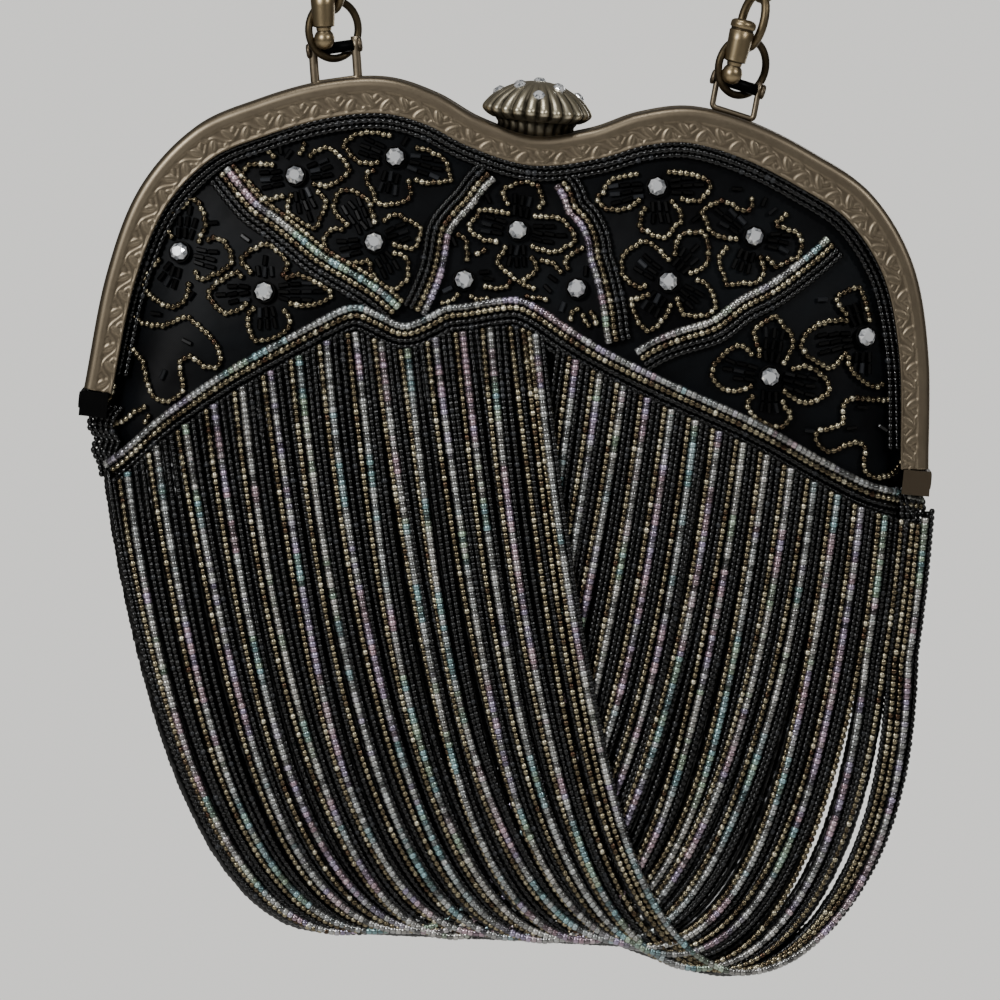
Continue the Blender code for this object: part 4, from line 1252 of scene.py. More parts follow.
# %% Bead strings
BEAD_PITCH = 1.5
BEAD_RADIUS = 0.82
BEAD_UNEVEN = 0.05
ROUND_BEAD = (
    # share of the pitch, share of the radius, depth in the gap
    (0.0, 0.45, 1.0),
    (0.3, 0.97, 0.05),
    (0.7, 0.97, 0.05),
)
CUT_BEAD = (
    (0.0, 0.76, 1.0),
    (0.18, 1.0, 0.0),
    (0.82, 1.0, 0.0),
)
JET_BEAD = (
    (0.0, 0.55, 1.0),
    (0.3, 0.98, 0.0),
    (0.7, 0.98, 0.0),
)
HIDDEN_BEAD = (
    (0.0, 0.86, 1.0),
    (0.5, 1.0, 0.0),
)


def drift(count, rng, step=0.06, jump=0.03):
    """A slow random walk that wraps round from 1 to 0, with a jump now and then."""
    steps = rng.normal(0.0, step, count) + (rng.uniform(size=count) < jump) * rng.uniform(-0.5, 0.5, count)
    return (rng.uniform() + np.cumsum(steps)) % 1.0


def add_string(heap, path, rng, radius=BEAD_RADIUS, pitch=BEAD_PITCH, outline=ROUND_BEAD, sides=7):
    """Beads threaded along a path: the outline is repeated once a pitch, and the tube's radius follows it."""
    outline = np.array(outline)
    length = run_of(path)[-1]
    count = max(int(round(length / pitch)), 2)
    place = np.append((np.arange(count)[:, None] + outline[:, 0]).ravel(), count) * length / count
    size = 1 + BEAD_UNEVEN * np.clip(rng.standard_normal(count), -2, 2)
    reach = radius * np.append((size[:, None] * outline[:, 1]).ravel(), outline[0, 1])
    rings = tube_rings(at_distances(path, place), reach, sides)
    own = np.append(np.repeat(np.arange(count), len(outline)), count - 1)
    tint = np.clip(rng.beta(2.0, 2.0, count), 0, 1)[own]
    shift = drift(count, rng)[own]
    gap = np.append(np.tile(outline[:, 2], count), outline[0, 2])
    groups = closed_tube(len(rings), sides)
    each = {"gap": gap, "tint": tint, "shift": shift}
    heap.add(rings, *groups, **{key: np.repeat(numbers, sides) for key, numbers in each.items()})
    return count


# %% [markdown]
# ## Piping and bands
# Rows of beads are couched along the frame, and in raised bands that divide the front into fields. A row is a
# line on the pouch moved sideways by a number of millimetres. Each band has one row of pearly beads with a
# bronze row beside it, or on both sides, and black rows outside. Its table says which lie where.

# %% Rows on the pouch


def row_on_pouch(line, offset, lift):
    """A line across and up, moved to its left by offset and laid on the pouch's front."""
    along = directions(line)
    moved_line = line + np.column_stack([-along[:, 1], along[:, 0]]) * offset
    place, _ = on_pouch(moved_line[:, 0], moved_line[:, 1], np.full(len(line), lift))
    return place


rng = np.random.default_rng(11)
PIPING_ROWS = (
    # inset from the frame's inner edge, lift
    (0.5, 1.3),
    (1.95, 1.6),
    (3.3, 1.1),
)
SIDE_ROPES = (
    # across, up down each side of the pouch
    (
        (-98.5, -74.5), (-100.3, -77.5), (-100.5, -80.5), (-98.6, -83.3),
        (-99.2, -86.0), (-97.5, -89.0), (-96.5, -92.5),
    ),
    ((100.5, -76.0), (102.3, -79.5), (102.8, -83.0), (103.6, -86.0), (103.5, -89.5)),
)
ROPE_ROWS = (
    # further in than the outermost row, away from the middle plane
    (0.0, -1.2),
    (1.4, -2.6),
    (2.8, -4.0),
    (4.2, -5.2),
    (5.6, -6.2),
)
PIPING_POINTS = 420
PIPING_CLEAR = slice(6, -6)
PIPING_PITCH = 1.6
heap, total = Heap(), 0
for inset, lift in PIPING_ROWS:
    line, _, _ = frame_line(PIPING_POINTS, np.full(PIPING_POINTS, inset), 1.0)
    line = line[PIPING_CLEAR]
    place, _ = on_pouch(line[:, 0], line[:, 1], np.full(len(line), lift))
    total += add_string(heap, place, rng, outline=JET_BEAD, pitch=PIPING_PITCH)
for rope in SIDE_ROPES:
    for aside, away in ROPE_ROWS:
        line = smooth_path(rope, 80) - [aside * math.copysign(1, rope[0][0]), 0.0]
        total += add_string(heap, np.insert(line, 1, away, axis=1), rng, outline=JET_BEAD)
heap.piece("piping_beads", jet, "jet_beads", replaces=["edge_piping"])
print(total, "beads in the piping")

# %% Bands
BANDS = {
    # name, then across and up along the pearly row
    "trim_band_main": (
        (-94.3, -88.9), (-88.5, -82.4), (-82.7, -76.0), (-72.5, -66.9), (-64.1, -60.4), (-53.8, -53.4),
        (-46.8, -48.7), (-41.6, -45.5), (-37.6, -44.7), (-32.7, -46.3), (-27.0, -48.1), (-21.7, -45.8),
        (-17.5, -43.2), (-12.6, -42.2), (-4.7, -40.2), (0.2, -39.7), (5.8, -41.7), (12.7, -45.4),
        (22.4, -49.9), (38.4, -56.0), (54.4, -61.5), (64.8, -65.7), (74.5, -70.3), (86.7, -75.5),
        (95.5, -77.8), (100.9, -79.0),
    ),
    "trim_band_left_outer": (
        (-73.0, -14.8), (-69.0, -19.0), (-64.8, -22.9), (-60.0, -25.6), (-54.0, -29.5), (-48.0, -33.4),
        (-40.5, -36.8), (-34.0, -40.0), (-28.5, -43.8),
    ),
    "trim_band_left_inner": (
        (-8.8, -10.9), (-11.2, -13.7), (-13.7, -17.9), (-16.3, -21.2), (-18.6, -25.0), (-19.0, -30.0),
        (-19.6, -35.0), (-21.1, -40.4), (-22.8, -45.0),
    ),
    "trim_band_right_inner": (
        (6.2, -11.2), (8.3, -13.8), (10.0, -17.4), (13.0, -20.0), (15.2, -23.8), (16.3, -28.1),
        (17.8, -31.5), (19.6, -36.5), (20.9, -41.0), (21.6, -44.5), (22.5, -47.5),
    ),
    "trim_band_right_outer": (
        (72.4, -17.8), (69.4, -21.2), (65.0, -25.4), (59.0, -30.5), (52.7, -34.4), (48.5, -38.3),
        (45.5, -40.4), (38.6, -43.1), (33.0, -46.0), (29.0, -49.0),
    ),
}
BAND_ROWS = {
    # offset to the left of the line, lift, finish
    "trim_band_main": (
        (0.0, 1.7, "pearly"),
        (-1.75, 2.1, "bronze"),
        (-3.35, 1.7, "jet"),
        (-4.85, 1.4, "jet"),
        (-6.3, 1.1, "jet"),
    ),
    "trim_band_left_outer": (
        (1.65, 1.3, "bronze"),
        (0.0, 1.8, "pearly"),
        (-1.7, 1.6, "bronze"),
        (-3.3, 1.2, "jet"),
        (-4.75, 1.0, "jet"),
    ),
    "trim_band_left_inner": (
        (0.0, 1.4, "pearly"),
        (-1.7, 1.8, "bronze"),
        (-3.25, 1.4, "jet"),
        (-4.7, 1.1, "jet"),
    ),
    "trim_band_right_inner": (
        (4.8, 1.1, "jet"),
        (3.35, 1.4, "jet"),
        (1.75, 1.8, "bronze"),
        (0.0, 1.4, "pearly"),
    ),
    "trim_band_right_outer": (
        (5.0, 1.0, "jet"),
        (3.5, 1.3, "jet"),
        (1.85, 1.7, "bronze"),
        (0.0, 1.5, "pearly"),
    ),
}
STRINGS = {
    # material, slot, outline, radius, pitch
    "pearly": (pearly, "pearly_beads", CUT_BEAD, 0.96, 1.35),
    "bronze": (bronze, "bronze_beads", ROUND_BEAD, 0.84, 1.55),
    "jet": (jet, "jet_beads", JET_BEAD, 0.8, 1.5),
}

band_heaps = {finish: Heap() for finish in STRINGS}
for name, points in BANDS.items():
    line = smooth_path(points, 160)
    for offset, lift, finish in BAND_ROWS[name]:
        _, _, outline, radius, pitch = STRINGS[finish]
        place = row_on_pouch(line, offset, lift)
        add_string(band_heaps[finish], place, rng, radius=radius, pitch=pitch, outline=outline, sides=8)
for finish, heap in band_heaps.items():
    material, slot_name = STRINGS[finish][:2]
    stands_for = list(BANDS) if finish == "pearly" else ()
    heap.piece(f"band_beads_{finish}", material, slot_name, replaces=stands_for)

# %% [markdown]
# ## Flowers of beads and stones
# Thirteen stones are the hearts of bead flowers. Each has up to four petals, outlined in bronze beads on a
# thread that is sewn down as it goes, so no two are alike: a formula for a petal would look stamped, and so
# each outline has a few points of its own. Some petals are open at the stone, and the small flowers beside
# the middle have only short sprigs.

# %% Flower table
FLOWERS = (
    # place of the stone, then the outline of each petal, all as across and up
    ((-82.0, -36.0), (
        ((-84, -33), (-86.2, -30.3), (-85.2, -27), (-82.3, -25), (-81.2, -22.9), (-79, -23.7),
         (-77.2, -26.8), (-76.7, -29.5), (-77.7, -32), (-78, -33.7)),
        ((-76.3, -32.5), (-74, -31.8), (-72, -32.3), (-70.3, -34.4), (-69.5, -36.9), (-71.5, -39.3),
         (-74, -40.7), (-76.5, -42), (-78.3, -40)),
        ((-79.2, -42.7), (-79.2, -44.5), (-80, -47.5), (-83, -49.3), (-87, -47.9), (-89.8, -45.6),
         (-89.7, -42.7), (-88, -39.7), (-86.6, -38)),
    )),
    ((-61.0, -43.2), (
        ((-64.2, -39.2), (-67, -36.8), (-66.5, -35), (-64, -33), (-61.6, -31.9), (-58.5, -33.5),
         (-56.2, -36), (-57, -39.3)),
        ((-56.5, -39.7), (-53.9, -38.4), (-51.1, -38.9), (-47.6, -40.2), (-44.9, -42), (-46.5, -43.9),
         (-49.8, -45.2), (-52.5, -45.5), (-55.3, -45.1)),
        ((-56.3, -46.5), (-55, -48), (-54.2, -50.3), (-56, -52.8), (-59, -54.4), (-62.3, -54.8),
         (-63.7, -52.5), (-64.4, -50), (-63.8, -48), (-62.9, -46.9)),
        ((-64.8, -45.8), (-66.3, -47.8), (-70, -49.2), (-72.3, -47.7), (-74.2, -45.5), (-73.2, -43),
         (-70, -40.4), (-68, -39.3), (-66.3, -40.6)),
    )),
    ((-56.3, -15.0), (
        ((-61.3, -13), (-64.5, -13), (-67.8, -13.6), (-69, -16.3), (-66.3, -18.5), (-63.8, -20.8),
         (-61.7, -21.3), (-58.4, -19.8)),
        ((-53.8, -10.5), (-51.8, -8.5), (-49.1, -7.6), (-46.6, -9), (-44.4, -11), (-43.7, -12.8),
         (-46, -15.3), (-48.7, -16.7), (-52.3, -16.5)),
        ((-51.3, -18), (-49.3, -19.3), (-48.4, -21), (-49.2, -24), (-50.5, -27), (-53.8, -25.9),
         (-57.3, -23.8), (-57.4, -21.8), (-56.8, -19.2)),
    )),
    ((-33.0, -8.3), (
        ((-34.2, -3.4), (-38.5, -2.8), (-42, -3.4), (-44.3, -4.8), (-45.5, -6.8), (-44.2, -8),
         (-42.5, -9.8), (-40, -10.4), (-36.5, -10)),
        ((-28.6, -6), (-26.8, -5.5), (-23.6, -6.5), (-20.8, -8), (-20, -10.4), (-19.2, -12.4),
         (-22.7, -13.4), (-26, -13.7), (-27.8, -12.8)),
        ((-37.3, -11.8), (-39.3, -12.7), (-39, -15), (-37.2, -17.2), (-36.3, -19.6), (-33, -19.6),
         (-29.2, -18.3), (-28.5, -16.5), (-28.9, -14.5), (-29.7, -13)),
    )),
    ((-36.0, -29.0), (
        ((-42.2, -26), (-44, -24.5), (-46, -22.8), (-46.4, -20.5), (-45.4, -17.8), (-42.7, -17.2),
         (-40, -18.3), (-38, -19.6), (-37.4, -21.6), (-36, -24.7)),
        ((-43.2, -26.9), (-45.5, -26.6), (-47.3, -27.8), (-48, -30), (-47, -32), (-44.8, -33.6),
         (-42, -34.4), (-39, -34), (-36.5, -33.3)),
        ((-34.6, -23.9), (-31.8, -21.9), (-28.5, -23), (-25.5, -24.3), (-25.3, -26.5), (-26.3, -29.4),
         (-28.5, -29.5), (-32, -28.9)),
        ((-31.5, -30.8), (-29.4, -31.3), (-27.8, -32), (-27.4, -34), (-27.2, -36.5), (-28.6, -38.4),
         (-31, -39.7), (-34, -38.2), (-36.1, -35.6), (-36.7, -33.3)),
    )),
    ((-2.0, -23.0), (
        ((-4.6, -17.4), (-5.7, -15.7), (-6.5, -14), (-5, -12.6), (-2, -11.2), (0.2, -11.3), (2, -12.2),
         (3, -14.5), (3.3, -16), (2.4, -17.6)),
        ((-4, -19.2), (-7.6, -18.9), (-11.2, -18.9), (-12.3, -20.7), (-13.9, -23.2), (-12.6, -24.6),
         (-9.7, -26), (-6.1, -26)),
        ((1.2, -19.2), (4, -19.1), (7.4, -19), (9.5, -20.2), (11.4, -22.3), (12, -24), (10, -25.7),
         (7.5, -27.2), (4.6, -27.1), (1.2, -26.4)),
        ((-4.2, -26.7), (-5, -28.2), (-6.2, -31), (-4.5, -32.5), (-2, -34.2), (-0.2, -35.3), (1.2, -34),
         (3.2, -32.3), (3.2, -30.8), (1.6, -28.5)),
    )),
    ((-13.8, -35.9), (
    )),
    ((13.5, -35.4), (
    )),
    ((30.4, -9.4), (
        ((25.8, -6.6), (22.5, -7.5), (19, -8.9), (17.5, -12), (16.3, -13.7), (18.6, -15.7), (22.3, -15.6),
         (24.8, -14.5), (26.8, -12.4)),
        ((32, -5.6), (36, -5.4), (39.8, -5.8), (43, -7.2), (42.6, -9.2), (40.9, -11.6), (38.3, -11.9),
         (36, -11.7)),
        ((28, -14.2), (27.3, -16.5), (27.2, -19.3), (29, -20.2), (32, -21.3), (34, -20.8), (35.3, -18.6),
         (36.7, -17), (36.6, -15), (35, -13.4), (33.9, -11.9)),
    )),
    ((35.1, -31.6), (
        ((35.1, -26.9), (33, -24.9), (30.8, -23.3), (28.3, -22.6), (25.5, -24.7), (23.8, -26.5),
         (24, -30.5), (25.5, -32.3), (28.4, -33.6), (30.4, -32.8)),
        ((36, -25.6), (36.2, -22.5), (37.2, -20.1), (40, -19.4), (42.5, -19.4), (43.8, -22), (44, -26),
         (42.3, -28), (39.5, -29.3)),
        ((41.5, -30.2), (44.4, -31.4), (46, -33.7), (46.9, -36), (45.6, -38.3), (42.3, -39),
         (39.3, -38.7), (38.2, -36.5), (37.3, -34.7)),
        ((31.3, -34.7), (28.6, -36), (26.6, -36.7), (27.3, -38.5), (28.6, -41.2), (31, -43.5),
         (33.2, -42.5), (34.8, -40.3), (36, -38.2), (36, -36.4)),
    )),
    ((54.6, -19.1), (
        ((53.4, -9.5), (53.2, -12.5), (51.2, -13.1), (48.4, -11.7), (45.8, -11.3), (43.2, -12.8),
         (41.7, -14), (42.9, -16.5), (44.2, -18.8), (47.2, -19.9), (51, -20)),
        ((62.3, -12.5), (61, -14), (59.5, -15.6), (62.7, -16.5), (65.4, -17.5), (66.2, -20),
         (65.7, -22.7), (63, -24.3), (60.5, -25.7), (58, -23.3)),
        ((48.6, -21.7), (46.8, -24.5), (47, -26.5), (48.5, -29.2), (49.3, -31), (52.8, -30.3), (56, -30),
         (57.6, -28), (57.5, -25.8), (56.3, -23.3)),
    )),
    ((61.6, -51.7), (
        ((58.5, -47.7), (58.3, -45.5), (57, -42.7), (57, -40.7), (59, -39), (61.5, -37.4), (63.5, -39.4),
         (65.8, -41.5), (66.2, -44.4), (65.2, -46.8), (64.5, -49)),
        ((57, -47.2), (55.7, -45.9), (53.8, -45), (51.5, -46), (49.5, -48), (47.9, -50.4), (47.8, -53),
         (49.8, -55.2), (52.3, -56), (55, -55.6), (57.8, -54.2)),
        ((66.2, -49.8), (69.7, -48.6), (73, -49.7), (75.6, -52), (76, -54.3), (73.5, -56.3),
         (70.8, -57.3), (67.8, -56.4), (64.8, -54.5)),
        ((58.4, -56.2), (56.9, -58.5), (57.8, -60.8), (60.7, -62.7), (64, -63.7), (66, -63.2),
         (67.5, -60.9), (66.3, -59), (64.7, -56.9)),
    )),
    ((83.6, -40.6), (
        ((79.3, -36.9), (75.9, -37.2), (72.4, -38.3), (69.5, -40.7), (68.4, -43.6), (70, -46),
         (73, -47.5), (76, -48.6), (78, -46.3), (79.5, -44.5)),
        ((79, -35.9), (77.3, -34.3), (75.8, -32), (77, -30.7), (79.7, -29.2), (81.2, -29), (82.7, -31.7),
         (83.8, -34.7), (84.6, -37.2)),
        ((79.9, -45.2), (80.4, -47.8), (82.8, -50.3), (85.8, -52), (87.7, -52.3), (89, -51.2)),
    )),
)
SPRIGS = (
    # across, up along each sprig or scroll of bronze beads
    ((-54.6, -6.7), (-55.3, -8.3), (-55.9, -10.2)),
    ((-64, -9.3), (-62.5, -10.4), (-61.5, -11.5)),
    ((-16.8, -24.8), (-14.2, -26.5), (-13.8, -28.5), (-13.3, -31.6)),
    ((-11.8, -30), (-10.3, -28.8), (-8.8, -28.1)),
    ((-9.2, -36.8), (-6, -37.2), (-3.7, -36.6), (-2.2, -34.8)),
    ((-12.2, -39.6), (-9.5, -40.2), (-7.3, -39.4)),
    ((-19, -41.8), (-16.5, -41.2), (-15.3, -40), (-14.8, -38.8)),
    ((3.7, -29.2), (5.5, -29.7), (7.4, -30), (9.7, -32.4)),
    ((14.5, -25.3), (12, -27), (10.2, -28.8), (11.1, -31.6)),
    ((0.2, -35.5), (1.9, -36), (3.8, -36.6)),
    ((1.1, -38.5), (4, -38.5), (7, -38.6)),
    ((14.7, -39.5), (13, -41), (12.5, -43.5)),
    ((15.2, -41), (16.2, -42.6), (17.4, -44.3)),
    ((17.2, -40), (18.3, -41.8), (19.4, -43.6)),
    ((-92, -48.3), (-92.3, -51.7), (-89.6, -53.9), (-84.5, -53.9), (-81.5, -52.3), (-79, -51.2),
     (-76, -52.9), (-72.3, -55.8), (-70.2, -59.2), (-70.5, -62.2), (-74, -62.3), (-77, -60.4),
     (-79.6, -62), (-79, -65.5), (-78.3, -68.8), (-81.5, -71.7), (-85.3, -70.9), (-87.3, -67),
     (-88.6, -63), (-91.3, -60.6), (-94, -60.2), (-95.8, -63.5), (-95.8, -67.5), (-95.2, -71.5),
     (-97.5, -75.5), (-95.5, -79.4), (-92, -78), (-89.5, -75.4), (-86.5, -73.5)),
    ((-86, -75), (-86.2, -76.6), (-87, -78)),
    ((91, -55.3), (87.2, -55.4), (81.7, -55.4), (79.8, -57.8), (80.3, -61.1), (77.5, -62.8), (74.2, -64),
     (74.4, -66.4), (76.5, -68.2), (78.7, -68.4), (81.3, -66.7), (84.9, -65.8), (86.3, -68),
     (86.2, -70.9), (87.5, -73.3), (90, -74), (93.3, -73), (95.3, -70.5), (96.7, -68), (96, -66),
     (94.5, -64.5)),
)
PETAL_PITCH = 1.45
PETAL_RADIUS = 0.8
PETAL_LIFT = 0.8
PETAL_UNEVEN = 0.12


def on_satin(flat, lift):
    """A flat line laid on the pouch's front, as far out as lift says."""
    return on_pouch(flat[:, 0], flat[:, 1], np.full(len(flat), lift))[0]


# %% Petals, sprigs and scrolls
rng = np.random.default_rng(23)
heap, total = Heap(), 0
outlines = [petal for _, petals in FLOWERS for petal in petals] + list(SPRIGS)
for outline in outlines:
    line = smooth_path(outline, 16 * len(outline))
    line += PETAL_UNEVEN * np.sin(run_of(line)[:, None] * [1.9, 2.3] + rng.uniform(0, 6, 2))
    place = on_satin(line, PETAL_LIFT)
    total += add_string(heap, place, rng, radius=PETAL_RADIUS, pitch=PETAL_PITCH, sides=8)
heap.piece("petal_beads", bronze, "bronze_beads")
print(len(outlines), "outlines,", total, "beads")

# %% [markdown]
# Bugles are cut from glass tube, so they are long and straight, and flash where they catch the light. Inside
# each petal they lie end to end in three rows that fan out from the stone. The middle of the petal's outline
# gives the way they point, and its furthest point how long the rows are.

# %% Bugle beads
BUGLE = (
    # share of the length, share of the radius, depth in the gap
    (0.0, 0.72, 0.6),
    (0.04, 1.0, 0.0),
    (0.96, 1.0, 0.0),
    (1.0, 0.72, 0.6),
)
BUGLE_LONG = 2.5
BUGLE_RADIUS = 0.6
BUGLE_LIFT = 0.6
BUGLE_SIDES = 6
BUGLE_GAP = 0.3
BUGLE_START = 3.1
BUGLE_ASIDE = 1.6
LOOSE_BUGLES = (
    # across, up, angle in degrees
    (-60.6, -9.0, 105),
    (-75.0, -28.2, 10),
    (-66.8, -31.0, -30),
    (-78.5, -46.0, 60),
    (-86.5, -51.3, 0),
    (-78.5, -57.0, -20),
    (-83.5, -65.5, 70),
    (-58.5, -10.0, 60),
    (-31.0, -4.2, 65),
    (-17.0, -27.0, -60),
    (-9.8, -16.0, -60),
    (-9.0, -33.5, 10),
    (-8.0, -35.0, 0),
    (-17.5, -38.5, 30),
    (7.5, -33.5, -30),
    (6.5, -36.0, -40),
    (15.2, -31.0, 90),
    (10.5, -40.0, 75),
    (40.3, -16.0, 45),
    (49.5, -8.0, 0),
    (56.3, -10.5, 70),
    (58.5, -12.5, 45),
    (72.5, -32.5, 5),
    (82.5, -62.5, 10),
    (90.0, -62.0, -30),
    (84.5, -57.3, 0),
    (72.5, -64.0, 0),
)


def add_bugle(heap, middle, degrees, rng):
    """One six-sided tube lying on the satin about its middle, in a direction."""
    outline = np.array(BUGLE)
    turn = math.radians(degrees)
    flat = np.array(middle) + np.outer((outline[:, 0] - 0.5) * BUGLE_LONG, [math.cos(turn), math.sin(turn)])
    rings = tube_rings(on_satin(flat, BUGLE_LIFT), BUGLE_RADIUS * outline[:, 1], BUGLE_SIDES)
    groups = closed_tube(len(rings), BUGLE_SIDES)
    gap = np.repeat(outline[:, 2], BUGLE_SIDES)
    # the random value picks a few bugles that the black glass paints dark grey as glints
    heap.add(rings, *groups, gap=gap, tint=rng.uniform(), shift=0.0)


heap, total = Heap(), 0
for stone, petals in FLOWERS:
    for petal in petals:
        from_stone = smooth_path(petal, 40) - np.array(stone)
        toward = unit(from_stone.mean(axis=0))
        square = np.array([-toward[1], toward[0]])
        along, aside = from_stone @ toward, np.abs(from_stone @ square)
        for row in (-1, 0, 1):
            last = along.max() - (1.5 if row == 0 else 2.6)
            wide = min(BUGLE_ASIDE, 0.4 * aside.max())
            reach = BUGLE_START + BUGLE_LONG / 2 + rng.uniform(0, 0.6)
            while reach + BUGLE_LONG / 2 < last:
                fan = row * wide * (0.75 + 0.05 * reach)
                middle = np.array(stone) + toward * reach + square * fan
                angle = math.degrees(math.atan2(toward[1], toward[0])) + row * 5 + rng.normal(0, 5)
                add_bugle(heap, middle, angle, rng)
                reach += BUGLE_LONG + BUGLE_GAP
                total += 1
for across, up, angle in LOOSE_BUGLES:
    add_bugle(heap, (across, up), angle, rng)
heap.piece("bugle_beads", jet, "jet_beads", smooth=False)
print(total + len(LOOSE_BUGLES), "bugles")

# %% Stones in their cups
STONE_LIFT = 0.6
STONE_RADIUS = 2.2
STONE_TALL = 2.2
heap, cups = Heap(), Heap()
CUP = (
    # radius, height
    (0.05, 0.0),
    (2.5, 0.0),
    (2.72, 0.35),
    (2.72, 1.0),
    (2.5, 1.15),
    (2.36, 1.0),
    (2.3, 0.8),
    (0.05, 0.6),
)
CUP_SIDES = 20
cup = turned_rings(CUP, CUP_SIDES).reshape(-1, 3)
groups = closed_tube(len(CUP), CUP_SIDES)
for (across, up), _ in FLOWERS:
    place, out = on_pouch(np.array([across]), np.array([up]), np.array([0.5]))
    side = unit(np.cross(out[0], [0.0, 0.0, 1.0]))
    seat = Matrix((side, np.cross(out[0], side), out[0])).transposed().to_4x4()
    seat = Matrix.Translation(place[0]) @ seat @ Matrix.Rotation(rng.uniform(0, 1), 4, "Z")
    add_stone(heap, STONE_RADIUS, STONE_TALL, seat @ Matrix.Translation((0, 0, STONE_LIFT)), rng)
    cups.add(moved(cup, seat), *groups, height=0.2)
solids = [f"rhinestone_{number:02d}" for number in range(1, len(FLOWERS) + 1)]
heap.piece("flower_stones", crystal, "crystal", smooth=False, replaces=solids)
cups.piece("stone_cups", black_lacquer, "clasp_metal")

# %% [markdown]
# ## The bead swags
# Sixty-four strands hang from under the main band. Each starts on its left part, hangs down, and comes up
# again further right, so every strand crosses those that started to its right: its falling half lies in front
# and its rising half behind. A hanging string is a catenary, the curve of a hyperbolic cosine, whose size is
# found here by halving an interval until the curve is as wide as the strand's two ends are apart.

# %% One strand's curve
SWAG_STARTS = (-95.5, 7.0)
SWAG_ENDS = (9.7, 105.3)
SWAG_BELOW_BAND = 5.4
SWAG_CORNER = 4.0
SWAG_BOTTOMS = (
    # share of the way across, lowest point
    (0.0, -190.8),
    (0.25, -192.0),
    (0.5, -193.2),
    (0.72, -194.5),
    (0.85, -199.5),
    (0.93, -201.8),
    (1.0, -201.4),
)
SWAG_HALF_WIDTH = 107.0
SWAG_LIFT = 1.9
SWAG_OVER_LIFT = 4.6


def swag_end(across):
    """Where a strand leaves the band, in plumb space, as across and up."""
    table = np.array(BANDS["trim_band_main"])
    inside = min(across - SWAG_STARTS[0], SWAG_ENDS[1] - across)
    below = SWAG_BELOW_BAND * (0.25 + 0.75 * smooth_step(inside / SWAG_CORNER))
    up = np.interp(across, table[:, 0], table[:, 1]) - below
    place = plumb_from_level(np.array([across, 0.0, up]))
    return place[0], place[2]


def swag_line(share, count=420):
    """Evenly spaced points of the catenary from its start to its end, as across and up."""
    start = swag_end(SWAG_STARTS[0] + (SWAG_STARTS[1] - SWAG_STARTS[0]) * share)
    end = swag_end(SWAG_ENDS[0] + (SWAG_ENDS[1] - SWAG_ENDS[0]) * share)
    bottom = np.interp(share, *np.array(SWAG_BOTTOMS).T)
    start_drop, end_drop, span = start[1] - bottom, end[1] - bottom, end[0] - start[0]
    low, high = 1.0, 300.0
    for _ in range(50):
        size = (low + high) / 2
        wide = size * (math.acosh(1 + start_drop / size) + math.acosh(1 + end_drop / size))
        low, high = (size, high) if wide < span else (low, size)
    down, rise = size * math.acosh(1 + start_drop / size), size * math.acosh(1 + end_drop / size)
    along = np.linspace(-math.sinh(down / size), math.sinh(rise / size), count)
    across = start[0] + down + size * np.arcsinh(along)
    return np.column_stack([across, bottom + size * (np.sqrt(1 + along**2) - 1)])


# %% All strands
STRAND_ORDER = ("jet", "jet") + ("bronze", "pearly", "jet", "jet") * 14 + (
    "bronze", "jet", "bronze", "bronze", "pearly", "jet"
)
STRAND_WIDTHS = {"bronze": 1.5, "pearly": 1.85, "jet": 1.45}
STRAND_LIFTS = {"bronze": 0.4, "pearly": 0.6, "jet": 0.0}
SWAG_THINNER = 0.97
SWAG_SIDES = 6
LIFT_UNEVEN = 0.25
SWAY = 0.45
WANDER = 0.7
RISE_AND_FALL = 0.6
CLUMPING = 1.6
CLUMP_PLACE = 0.66
CLUMP_RUN = 0.16
BULGE = 1.5
PARTINGS = (0.86, 0.925)
PARTED_BY = 1.95


def strand_path(share, lift, over, sway, clump, loose=1.0):
    """A strand's curve laid on the purse: its falling part lies further out, by over, than its rising part.
    Sway is three phases of its own sine waves and clump two of those that it shares with its neighbours.
    Loose is how much of all this it takes. Further right the strands bulge out as they rise, by the share's
    cube, and the last bundles part from the others."""
    line = swag_line(share)
    part = run_of(line) / run_of(line)[-1]
    lowest = part[np.argmin(line[:, 1])]
    free = np.sin(math.pi * part) ** 0.6
    own = sum(np.sin(part * (4 + 5 * k) + sway[k]) / (k + 1) for k in range(3))
    parted = np.exp(-(((part - CLUMP_PLACE) / CLUMP_RUN) ** 2)) * np.sin(5 * part + clump[0])
    wander = np.sin(7 * part + clump[1]) * smooth_step((0.5 - part) / 0.2)
    rising = np.clip((part - lowest) / (1 - lowest), 0, 1)
    across = line[:, 0] + (SWAY * own + CLUMPING * parted + WANDER * wander) * free * loose
    across += BULGE * share**3 * np.sin(math.pi * rising**1.4)
    bundles = sum(share > place for place in PARTINGS)
    across += PARTED_BY * bundles * np.sin(math.pi * np.clip(rising / 0.72, 0, 1))
    up = line[:, 1] + RISE_AND_FALL * math.sin(clump[1]) * free * loose
    own_across, own_up = level_from_plumb(across, up)
    depth = hanging_depth(own_across, own_up, SWAG_HALF_WIDTH)
    falling = 1 - smooth_step((part - lowest + 0.02) / 0.12)
    outwards = lift + over * falling * smooth_step(part / 0.06)
    return np.column_stack([across, -(depth + outwards), up])


